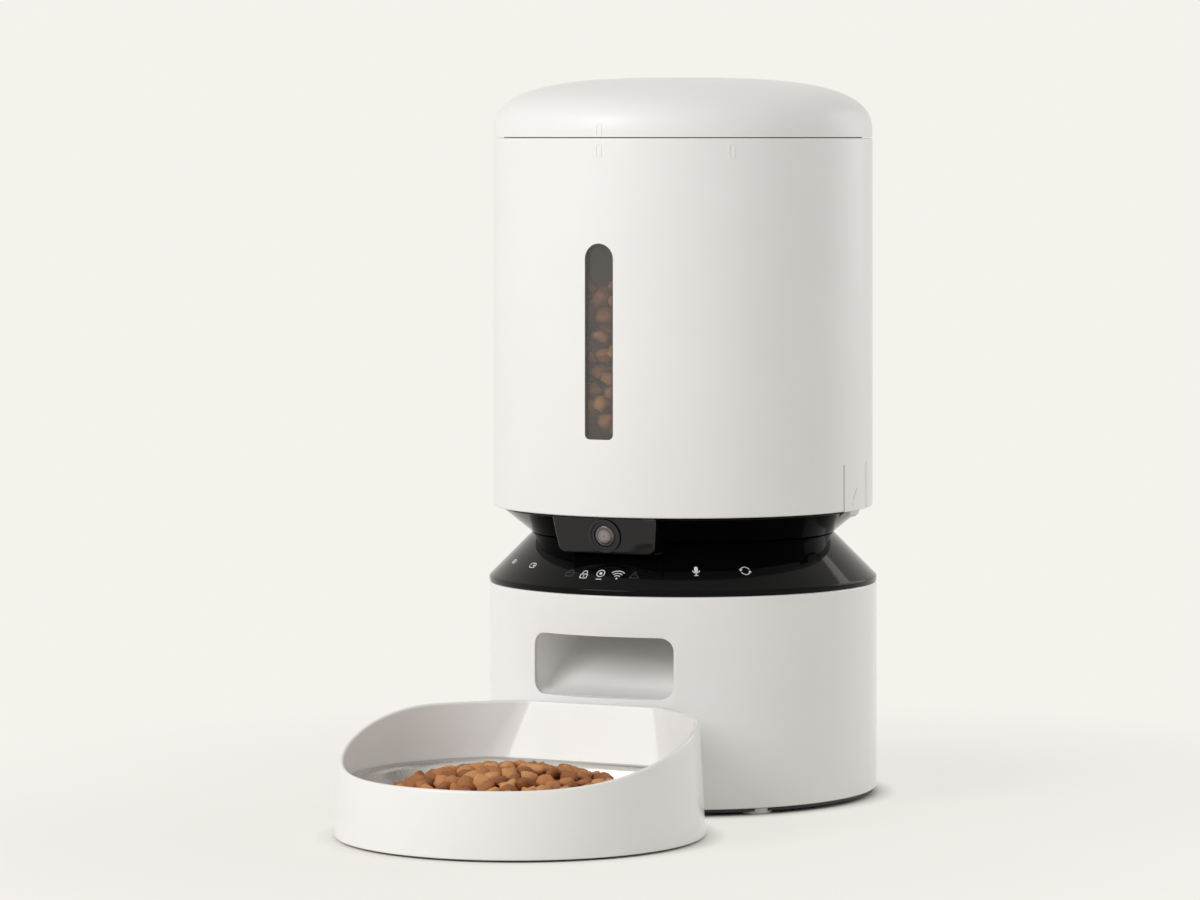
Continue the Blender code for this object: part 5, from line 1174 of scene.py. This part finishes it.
class FEEDER_OT_base(bpy.types.Operator):
    """Make the white side wall of the base and the food chute behind its opening"""

    bl_idname = "feeder.base"
    bl_label = "Base"

    def execute(self, context):
        low, top = SHELL_LOW.z, SHELL_HIGH.z
        lip = BASE_RADIUS - SHELL_LIP
        inner = BASE_RADIUS - BASE_WALL
        outline = fillet([(BASE_RADIUS, low, SHELL_EDGE), (BASE_RADIUS, top, SHELL_EDGE),
                          (lip, top), (lip, top - BASE_WALL), (inner, top - BASE_WALL),
                          (inner, low)])
        shell = turned("base_shell_skin", outline, "polished_abs")
        opening = rounded_rectangle(OPENING_HALF, OPENING_BOTTOM, OPENING_BOTTOM + OPENING_HEIGHT,
                                    OPENING_CORNER)
        cuts = [upright(prism(opening, OPENING_CUT_START, BASE_RADIUS + OVERRUN))]
        hole = prism(circle(INLET_RADIUS), inner - OVERRUN, BASE_RADIUS + OVERRUN)
        turn = Matrix.Rotation(math.radians(-90), 4, "X")
        cuts.append(changed(hole, Matrix.Translation((0, 0, INLET_HEIGHT)) @ turn))
        combined(shell, cuts)
        softened(shell, SHELL_EDGE, 4, math.radians(60))
        finished(shell, "base", ["base_shell"])
        skin = stitched(chute_loops(0.0) + list(reversed(chute_loops(CHUTE_WALL))),
                        close_ends=False)
        chute = from_bmesh("food_chute_skin", skin, "polished_abs")
        finished(chute, "base", ["food_chute"])
        return {"FINISHED"}


def cone_place(turn, height):
    """Points on the sloping panel: u runs round it, v up along its slope."""
    rim = PANEL_LOW.z + PANEL_RIM
    rise_all, run_all = PANEL_HIGH.z - rim, BASE_RADIUS - WAIST_RADIUS
    slant = math.hypot(rise_all, run_all)
    start = (height - rim) / rise_all * slant

    def place(u, v, rise):
        share = (start + v) / slant
        radius = BASE_RADIUS - run_all * share
        angle = turn + u / radius
        reach = radius + rise * rise_all / slant
        return (reach * math.sin(angle), -reach * math.cos(angle),
                rim + rise_all * share + rise * run_all / slant)
    return place


def padlock(line, fill):
    """A shackle over a filled body."""
    line(arc_points(0.45, 180, 0, 10, (0, 0.25)))
    line([(-0.45, 0.3), (-0.45, -0.05)])
    line([(0.45, 0.3), (0.45, -0.05)])
    line(rounded_rectangle(0.68, -0.95, -0.05, 0.2, 3), True)
    fill(circle(0.14, 10, (0, -0.5)))


def eye_on_foot(line, fill):
    """A round eye on a foot, for the camera's lamp."""
    line(circle(0.66, 24, (0, 0.3)), True)
    fill(circle(0.26, 12, (0, 0.3)))
    line([(-0.5, -0.9), (0.5, -0.9)])


def radio_arcs(line, fill):
    """A dot under two arcs, for the wireless link."""
    fill(circle(0.17, 12, (0, -0.75)))
    line(arc_points(0.62, 42, 138, 12, (0, -0.75)))
    line(arc_points(1.12, 44, 136, 14, (0, -0.75)))
    line(arc_points(1.62, 45, 135, 16, (0, -0.75)))


def small_bowl(line, fill):
    """A bowl with food, for the low food lamp."""
    line([(-1.0, 0.1), (1.0, 0.1), (0.7, -0.75), (-0.7, -0.75)], True)
    line(arc_points(0.6, 165, 15, 10, (0, 0.15)))


def warning(line, fill):
    """A triangle with a stroke."""
    line([(-0.9, -0.75), (0.9, -0.75), (0.0, 0.85)], True)
    line([(0.0, 0.25), (0.0, -0.25)])


def microphone_sign(line, fill):
    """A capsule in a cradle on a stand."""
    fill([(u, v + 0.35) for u, v in capsule(0.62, 1.2)])
    line(arc_points(0.6, 190, 350, 12, (0, 0.2)))
    line([(0.0, -0.45), (0.0, -0.9)])
    line([(-0.35, -0.95), (0.35, -0.95)])


def round_arrows(line, fill):
    """Two arrows round a circle, for feeding now."""
    for start in (20, 200):
        line(arc_points(0.8, start, start + 135, 14))
        end = math.radians(start + 145)
        tip = Vector((0.8 * math.cos(end), 0.8 * math.sin(end)))
        ahead = Vector((-math.sin(end), math.cos(end)))
        side = Vector((math.cos(end), math.sin(end)))
        fill([tuple(tip + ahead * 0.3), tuple(tip - ahead * 0.15 + side * 0.3),
              tuple(tip - ahead * 0.15 - side * 0.3)])


def cell_sign(line, fill):
    """A battery cell with its cap."""
    line([(-0.8, -0.45), (0.6, -0.45), (0.6, 0.45), (-0.8, 0.45)], True)
    fill([(0.7, -0.2), (0.9, -0.2), (0.9, 0.2), (0.7, 0.2)])
    fill([(-0.6, -0.25), (-0.1, -0.25), (-0.1, 0.25), (-0.6, 0.25)])


def switch_sign(line, fill):
    """A rounded switch with its knob to one side."""
    outline = arc_points(0.5, 90, 270, 10, (-0.4, 0)) + arc_points(0.5, -90, 90, 10, (0.4, 0))
    line(outline, True)
    fill(circle(0.25, 14, (0.4, 0)))


# Name, bearing in degrees, height on the cone, share of the icon size, finish and drawing
ICONS = (
    ("cell", -45.5, 0.1172, 0.80, "ink", cell_sign),
    ("switch", -31.0, 0.1170, 0.95, "ink", switch_sign),
    ("bowl", -12.0, 0.1153, 0.90, "dim_ink", small_bowl),
    ("padlock", -6.5, 0.1153, 0.95, "ink", padlock),
    ("eye", -0.9, 0.1152, 1.05, "ink", eye_on_foot),
    ("radio", 4.9, 0.1154, 1.00, "ink", radio_arcs),
    ("warning", 10.4, 0.1156, 0.85, "dim_ink", warning),
    ("microphone", 29.6, 0.1176, 1.00, "ink", microphone_sign),
    ("arrows", 45.5, 0.1173, 1.00, "ink", round_arrows),
)


class FEEDER_OT_icons(bpy.types.Operator):
    """Print the generic pictograms on the sloping panel"""

    bl_idname = "feeder.icons"
    bl_label = "Pictograms"

    def execute(self, context):
        size = context.scene.feeder_shapes.icon_size
        for name, bearing, height, share, ink, draw in ICONS:
            half = size * share / 2
            bm = bmesh.new()
            place = cone_place(math.radians(bearing), height)

            def line(points, closed=False):
                scaled = [(u * half, v * half) for u, v in points]
                stroke(bm, place, scaled, INK_LINE, -INK_SINK, INK_RISE, closed)

            def fill(points):
                patch(bm, place, [(u * half, v * half) for u, v in points], -INK_SINK, INK_RISE)

            draw(line, fill)
            finished(from_bmesh(f"icon_{name}", bm, ink), "base")
        return {"FINISHED"}


def d_outline(inset, radius, back_y, corner, corner_x=None, corner_steps=12, round_steps=110):
    """A round front joined to a flat back through two round corners, drawn in by an inset."""
    corner_y = back_y - corner
    rise = corner_y - TRAY_CENTRE_Y
    if corner_x is None:
        corner_x = math.sqrt((radius - corner) ** 2 - rise ** 2)
    distance = math.hypot(corner_x, rise)
    tangent = math.atan2(rise, corner_x) - math.acos(min(1.0, (radius - corner) / distance))
    arcs = [((corner_x, corner_y), corner - inset, math.pi / 2, tangent, corner_steps),
            ((0.0, TRAY_CENTRE_Y), radius - inset, tangent, -math.pi - tangent, round_steps),
            ((-corner_x, corner_y), corner - inset, math.pi - tangent, math.pi / 2, corner_steps)]
    points = []
    for centre, reach, start, end, steps in arcs:
        for step in range(steps + 1):
            angle = start + (end - start) * step / steps
            if centre[0] == 0.0 and step in (0, steps):
                continue
            points.append((centre[0] + reach * math.cos(angle),
                           centre[1] + reach * math.sin(angle)))
    return points


def tray_outline(inset, corner=TRAY_SOFT_CORNER):
    """The tray's plan at an inset from its foot line."""
    return d_outline(inset, TRAY_FRONT_RADIUS, TRAY_BACK_Y, corner, TRAY_BACK_HALF - corner)


def bowl_outline(inset):
    """The bowl's rim in plan, which also sets the tray's shelf and well."""
    radius = TRAY_FRONT_RADIUS - TRAY_BACK_HEIGHT * TRAY_DRAFT - TRAY_WALL - BOWL_SIDE_GAP
    return d_outline(inset, radius, TRAY_BACK_Y - BOWL_BACK_GAP, BOWL_CORNER)


def tray_rim_height(y):
    """The rim rises in one smooth sweep from the front to the back."""
    front = TRAY_BACK_Y - TRAY_REACH
    share = min(1.0, max(0.0, (y - front) / TRAY_RISE_LENGTH)) ** TRAY_RISE_POWER
    rise = TRAY_BACK_HEIGHT - TRAY_FRONT_HEIGHT
    return TRAY_FRONT_HEIGHT + rise * share * share * (3 - 2 * share)


def tray_rim_loop(across, drop):
    """One loop of the rim: how far in across the wall, and how far below its top."""
    corner = TRAY_SOFT_CORNER + (TRAY_INNER_CORNER - TRAY_SOFT_CORNER) * across / TRAY_WALL
    foot = tray_outline(0.0, corner)
    loop = []
    for index, (_, foot_y) in enumerate(foot):
        height = tray_rim_height(foot_y)
        x, y = tray_outline(height * TRAY_DRAFT + across, corner)[index]
        loop.append((x, y, height - drop))
    return loop


def level_loop(outline, height):
    """A loop at one height."""
    return [(x, y, height) for x, y in outline]


class FEEDER_OT_tray(bpy.types.Operator):
    """Make the white bowl tray with its sweeping rim"""

    bl_idname = "feeder.tray"
    bl_label = "Bowl tray"

    def execute(self, context):
        half = TRAY_WALL / 2
        well = SHELF_WIDTH + WELL_DRAFT
        under = SHELF_HEIGHT - TRAY_WALL
        rim = [tray_rim_loop(half + half * math.cos(a), half - half * math.sin(a))
               for a in (math.pi * i / 8 for i in range(9))]
        foot = [(TRAY_FOOT_ROUND * (1 - math.cos(a)),
                 TRAY_STAND + TRAY_FOOT_ROUND * (1 - math.sin(a)))
                for a in (math.pi / 2 * i / 4 for i in range(5))]
        loops = [level_loop(bowl_outline(well), WELL_BOTTOM + TRAY_WALL),
                 level_loop(bowl_outline(SHELF_WIDTH), SHELF_HEIGHT),
                 level_loop(bowl_outline(-BOWL_SIDE_GAP), SHELF_HEIGHT),
                 level_loop(bowl_outline(-BOWL_SIDE_GAP - SHELF_LEAN), SHELF_HEIGHT + SHELF_SOFT)]
        loops += rim
        loops += [level_loop(tray_outline(height * TRAY_DRAFT + inset), height)
                  for inset, height in foot]
        loops += [level_loop(tray_outline(TRAY_WALL), TRAY_STAND),
                  level_loop(tray_outline(TRAY_WALL + under * TRAY_DRAFT), under),
                  level_loop(bowl_outline(SHELF_WIDTH - TRAY_WALL), under),
                  level_loop(bowl_outline(well - TRAY_WALL), WELL_BOTTOM)]
        tray = from_bmesh("bowl_tray_skin", stitched(loops), "polished_abs")
        finished(tray, "tray", ["bowl_tray"])
        return {"FINISHED"}


class FEEDER_OT_bowl(bpy.types.Operator):
    """Make the drawn steel bowl with its rolled rim"""

    bl_idname = "feeder.bowl"
    bl_label = "Steel bowl"

    def execute(self, context):
        rim_low = SHELF_HEIGHT + CLEARANCE
        rim_top = rim_low + 2 * BOWL_RIM_ROUND
        floor = rim_top - BOWL_DEPTH
        wall_top = SHELF_WIDTH + 2 * CLEARANCE
        loops = []
        for thickness, order in ((BOWL_STEEL, 1), (0.0, -1)):
            foot = wall_top + BOWL_SLOPE + thickness
            curve = BOWL_FOOT_ROUND - thickness
            side = [level_loop(bowl_outline(foot + curve * (1 - math.sin(a))),
                               floor + thickness + curve * (1 - math.cos(a)))
                    for a in (math.pi / 2 * step / 16 for step in range(13))]
            side.append(level_loop(bowl_outline(wall_top + thickness + BOWL_NECK / 2),
                                   rim_low + thickness - BOWL_NECK))
            side.append(level_loop(bowl_outline(wall_top + thickness), rim_low + thickness))
            loops.append(side[::order])
        middle = rim_low + BOWL_RIM_ROUND
        roll = [level_loop(bowl_outline(BOWL_RIM_ROUND * (1 - math.cos(a))),
                           middle + BOWL_RIM_ROUND * math.sin(a))
                for a in (math.pi / 2 - math.pi * i / 12 for i in range(13))]
        rim = [level_loop(bowl_outline(wall_top - BOWL_STEEL), rim_top - BOWL_STEEL / 2),
               level_loop(bowl_outline(wall_top - 2 * BOWL_STEEL), rim_top - BOWL_STEEL / 8)]
        bowl = from_bmesh("steel_bowl_skin", stitched(loops[0] + rim + roll + loops[1]),
                          "bowl_steel")
        finished(bowl, "bowl", ["steel_bowl"])
        return {"FINISHED"}


def random_vector(tree, low, high, seed):
    """A random vector for each piece."""
    return add_node(tree, "FunctionNodeRandomValue", {0: low, 1: high, "Seed": seed},
                    data_type="FLOAT_VECTOR").outputs[0]


def heap_tree():
    """Geometry Nodes that scatter differing kibble over a surface."""
    tree, given = new_tree("kibble_heap", (
        ("Surface", "Geometry"), ("Piece Size", "Float"), ("Spacing", "Float"),
        ("Seed", "Int"), ("Material", "Material")), "Heap")
    points = add_node(tree, "GeometryNodeDistributePointsOnFaces",
                      {"Mesh": given["Surface"], "Distance Min": given["Spacing"],
                       "Density Max": HEAP_DENSITY, "Seed": given["Seed"]},
                      distribute_method="POISSON")
    ball = add_node(tree, "GeometryNodeMeshIcoSphere", {"Radius": 0.5, "Subdivisions": 2})
    turn = random_vector(tree, (-KIBBLE_LEAN, -KIBBLE_LEAN, 0.0),
                         (KIBBLE_LEAN, KIBBLE_LEAN, math.tau), given["Seed"])
    sizes = random_vector(tree, *KIBBLE_SCALE_SHARES, given["Seed"])
    scale = add_node(tree, "ShaderNodeVectorMath", {0: sizes, "Scale": given["Piece Size"]},
                     operation="SCALE")
    pieces = add_node(tree, "GeometryNodeInstanceOnPoints",
                      {"Points": points.outputs["Points"], "Instance": ball.outputs["Mesh"],
                       "Rotation": turn, "Scale": scale.outputs[0]})
    own = add_node(tree, "FunctionNodeRandomValue", {2: 0.0, 3: 1.0, "Seed": 5},
                   data_type="FLOAT")
    named = add_node(tree, "GeometryNodeStoreNamedAttribute",
                     {"Geometry": pieces.outputs["Instances"], "Name": "piece_shade",
                      "Value": own.outputs[1]}, data_type="FLOAT", domain="INSTANCE")
    real = add_node(tree, "GeometryNodeRealizeInstances",
                    {"Geometry": named.outputs["Geometry"]})
    place = add_node(tree, "GeometryNodeInputPosition").outputs[0]
    lumps = add_node(tree, "ShaderNodeTexNoise",
                     {"Vector": place, "Scale": LUMP_SCALE, "Detail": 1.0})
    centred = add_node(tree, "ShaderNodeVectorMath",
                       {0: lumps.outputs["Color"], 1: (0.5, 0.5, 0.5)}, operation="SUBTRACT")
    offset = add_node(tree, "ShaderNodeVectorMath",
                      {0: centred.outputs[0], "Scale": LUMP_DEPTH}, operation="SCALE")
    shaped = add_node(tree, "GeometryNodeSetPosition",
                      {"Geometry": real.outputs["Geometry"], "Offset": offset.outputs[0]})
    return close_tree(tree, shaped.outputs["Geometry"], given["Material"])


def heap(name, surface, body, seed):
    """Kibble over a surface, as one plain mesh that rides on a body."""
    kibble = bpy.context.scene.feeder_kibble
    thing = from_bmesh(name, surface)
    modifier = thing.modifiers.new("kibble_heap", "NODES")
    modifier.node_group = bpy.data.node_groups.get("kibble_heap") or heap_tree()
    set_input(modifier, "Piece Size", kibble.piece_size)
    set_input(modifier, "Spacing", kibble.spacing)
    set_input(modifier, "Seed", kibble.seed + seed)
    set_input(modifier, "Material", MATERIALS["kibble"])
    settled(thing)
    thing.data.transform(Matrix.Translation((0, AXIS_Y, 0)))
    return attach(thing, body)


def mound(centre, radii, low, height, steps=14):
    """A low mound as rings of points, for the heap in the bowl."""
    bm = bmesh.new()
    rings = []
    for ring in range(1, steps + 1):
        share = ring / steps
        z = low + height * (1 - share * share)
        rings.append([bm.verts.new((centre[0] + radii[0] * share * x,
                                    centre[1] + radii[1] * share * y, z))
                      for x, y in circle(1.0, 32)])
    top = bm.verts.new((*centre, low + height))
    for i in range(32):
        bm.faces.new((top, rings[0][i], rings[0][(i + 1) % 32]))
        for inner, outer in zip(rings, rings[1:]):
            bm.faces.new((inner[i], outer[i], outer[(i + 1) % 32], inner[(i + 1) % 32]))
    return bm


def store_sheet(reach, steps=12):
    """A curved sheet behind the window, for the food that leans on it."""
    bm = bmesh.new()
    columns = []
    for step in range(steps + 1):
        angle = STORE_ANGLE * (2 * step / steps - 1)
        columns.append([bm.verts.new((reach * math.sin(angle), -reach * math.cos(angle), z))
                        for z in STORE_HEIGHTS])
    for left, right in zip(columns, columns[1:]):
        for k in range(len(STORE_HEIGHTS) - 1):
            bm.faces.new((left[k], right[k], right[k + 1], left[k + 1]))
    return bm


class FEEDER_OT_kibble(bpy.types.Operator):
    """Fill the bowl and the hopper behind the window with dry food"""

    bl_idname = "feeder.kibble"
    bl_label = "Dry food"

    def execute(self, context):
        size = context.scene.feeder_kibble.piece_size
        for index, (low, height, reach) in enumerate(HEAP_LAYERS):
            surface = mound(HEAP_MIDDLE, (reach, reach * HEAP_DEPTH_SHARE), low, height)
            heap(f"kibble_bowl_{index + 1}", surface, "bowl", index)
        for index, back in enumerate(STORE_LAYERS):
            surface = store_sheet(HOPPER_INNER - size * STORE_GAP_SHARE - back)
            heap(f"kibble_hopper_{index + 1}", surface, "hopper", STORE_SEED + index)
        return {"FINISHED"}


class FEEDER_OT_finishes(bpy.types.Operator):
    """Give every carried-over piece its own finish"""

    bl_idname = "feeder.finishes"
    bl_label = "Finishes"

    def execute(self, context):
        for finish, names in NODE_FINISHES.items():
            for name in names:
                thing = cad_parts[name]
                thing.data.materials.clear()
                thing.data.materials.append(MATERIALS[finish])
        return {"FINISHED"}


def seen_ray(tree):
    """One for a ray that is seen straight, mirrored or through glass, and zero for light."""
    path = add_node(tree, "ShaderNodeLightPath").outputs
    seen = maths(tree, "MAXIMUM", path["Is Camera Ray"], path["Is Glossy Ray"])
    return maths(tree, "MAXIMUM", seen, path["Is Transmission Ray"])


class FEEDER_OT_stage(bpy.types.Operator):
    """Set the floor, backdrop, lamps and camera of the product photograph"""

    bl_idname = "feeder.stage"
    bl_label = "Stage"

    def execute(self, context):
        stage = context.scene.feeder_stage
        colour = tuple(stage.backdrop)
        bm = bmesh.new()
        bm.faces.new([bm.verts.new((x * FLOOR_REACH, y * FLOOR_REACH, 0.0))
                      for x, y in ((-1, -1), (1, -1), (1, 1), (-1, 1))])
        floor = from_bmesh("paper_floor", bm)
        floor.data.materials.append(self.paper(colour))
        self.sky(context, colour, stage.sky)
        self.lamp("key_softbox", KEY_PLACE, KEY_SIZE, stage.key_power)
        self.lamp("fill_softbox", FILL_PLACE, FILL_SIZE, stage.fill_power)
        self.camera(context)
        context.scene.view_settings.view_transform = "Standard"
        return {"FINISHED"}

    def paper(self, colour):
        """Seamless white paper: it keeps a little of the shadow close to the feeder."""
        material, tree, shader = new_material("seamless_paper", {"Roughness": 0.9,
                                                                 "Specular IOR Level": 0.1})
        place = object_place(tree)
        toned(tree, shader, noise(tree, place, PAPER_SCALE, 2.0),
              [(MIDDLE_SPAN[0], shade(colour, 0.99)), (MIDDLE_SPAN[1], colour)])
        gaps = []
        for y, radius in ((AXIS_Y, BASE_RADIUS), (AXIS_Y + TRAY_CENTRE_Y, TRAY_FRONT_RADIUS)):
            reach = add_node(tree, "ShaderNodeVectorMath", {0: place, 1: (0.0, y, 0.0)},
                             operation="DISTANCE")
            gaps.append(maths(tree, "SUBTRACT", reach.outputs["Value"], radius))
        gap = maths(tree, "MINIMUM", *gaps)
        shares = [add_node(tree, "ShaderNodeMapRange",
                           {"Value": gap, "From Min": near, "From Max": far,
                            "To Min": 0.0, "To Max": most}).outputs["Result"]
                  for (near, far), most in ((PAPER_CONTACT, PAPER_GLOW),
                                            (PAPER_FADE, 1 - PAPER_GLOW))]
        factor = maths(tree, "MULTIPLY", maths(tree, "ADD", *shares), seen_ray(tree))
        glow = add_node(tree, "ShaderNodeEmission", {"Color": colour, "Strength": 1.0})
        mix = add_node(tree, "ShaderNodeMixShader",
                       {0: factor, 1: shader.outputs[0], 2: glow.outputs[0]})
        tree.links.new(mix.outputs[0], tree.nodes["Material Output"].inputs["Surface"])
        return material

    def sky(self, context, colour, strength):
        """The world lights evenly, and is the backdrop's colour where it is seen."""
        world = bpy.data.worlds.new("Pale studio")
        context.scene.world = world
        world.use_nodes = True
        tree = world.node_tree
        tree.nodes.clear()
        seen = add_node(tree, "ShaderNodeBackground",
                        {"Color": colour, "Strength": 1.0})
        light = add_node(tree, "ShaderNodeBackground",
                         {"Color": (1.0, 1.0, 1.0, 1.0), "Strength": strength})
        mix = add_node(tree, "ShaderNodeMixShader",
                       {0: seen_ray(tree), 1: light.outputs[0], 2: seen.outputs[0]})
        leave = add_node(tree, "ShaderNodeOutputWorld")
        tree.links.new(mix.outputs[0], leave.inputs["Surface"])

    def lamp(self, name, place, size, power):
        """A square softbox that points at the middle of the feeder."""
        light = bpy.data.lights.new(name, "AREA")
        light.energy = power
        light.size = size
        lamp = bpy.data.objects.new(name, light)
        lamp.location = place
        lamp.rotation_euler = (AIM - Vector(place)).to_track_quat("-Z", "Y").to_euler()
        bpy.context.scene.collection.objects.link(lamp)

    def camera(self, context):
        """The photograph's viewpoint, level, with the lens shifted down."""
        lens = bpy.data.cameras.new("photo_camera")
        lens.sensor_width = SENSOR_WIDTH
        lens.lens = VIEW_LENS
        lens.shift_x = VIEW_SHIFT_X
        lens.shift_y = VIEW_SHIFT_Y
        lens.clip_end = 5 * FLOOR_REACH
        camera = bpy.data.objects.new("photo_camera", lens)
        turn = VIEW_TURN
        camera.location = (VIEW_DISTANCE * math.sin(turn),
                           AXIS_Y - VIEW_DISTANCE * math.cos(turn), VIEW_HEIGHT)
        camera.rotation_euler = (math.pi / 2, 0.0, turn)
        context.scene.collection.objects.link(camera)
        context.scene.camera = camera


STEPS = ("lid", "hopper", "tabs", "camera", "waist", "base", "icons", "tray", "bowl", "kibble",
         "finishes", "stage")


class FEEDER_PT_panel(bpy.types.Panel):
    """The feeder's pieces and settings in the sidebar"""

    bl_idname = "FEEDER_PT_panel"
    bl_label = "Pet feeder"
    bl_space_type = "VIEW_3D"
    bl_region_type = "UI"
    bl_category = "Feeder"

    def draw(self, context):
        column = self.layout.column()
        for step in STEPS:
            column.operator(f"feeder.{step}")
        for group in ("feeder_finishes", "feeder_shapes", "feeder_kibble", "feeder_stage"):
            box = self.layout.box()
            settings = getattr(context.scene, group)
            for name in settings.__annotations__:
                box.prop(settings, name)


CLASSES = (FeederFinishes, FeederShapes, FeederKibble, FeederStage, FEEDER_OT_lid,
           FEEDER_OT_hopper, FEEDER_OT_tabs, FEEDER_OT_camera, FEEDER_OT_waist, FEEDER_OT_base,
           FEEDER_OT_icons, FEEDER_OT_tray, FEEDER_OT_bowl, FEEDER_OT_kibble,
           FEEDER_OT_finishes, FEEDER_OT_stage, FEEDER_PT_panel)


def register():
    """Register the classes and hang the settings on the scene."""
    for entry in CLASSES:
        bpy.utils.register_class(entry)
    bpy.types.Scene.feeder_finishes = PointerProperty(type=FeederFinishes)
    bpy.types.Scene.feeder_shapes = PointerProperty(type=FeederShapes)
    bpy.types.Scene.feeder_kibble = PointerProperty(type=FeederKibble)
    bpy.types.Scene.feeder_stage = PointerProperty(type=FeederStage)


def unregister():
    """Take the settings and the classes away again."""
    del bpy.types.Scene.feeder_stage
    del bpy.types.Scene.feeder_kibble
    del bpy.types.Scene.feeder_shapes
    del bpy.types.Scene.feeder_finishes
    for entry in reversed(CLASSES):
        bpy.utils.unregister_class(entry)


def main():
    """Build every piece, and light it."""
    register()
    make_materials()
    for step in STEPS:
        getattr(bpy.ops.feeder, step)()


if __name__ == "__main__":
    main()
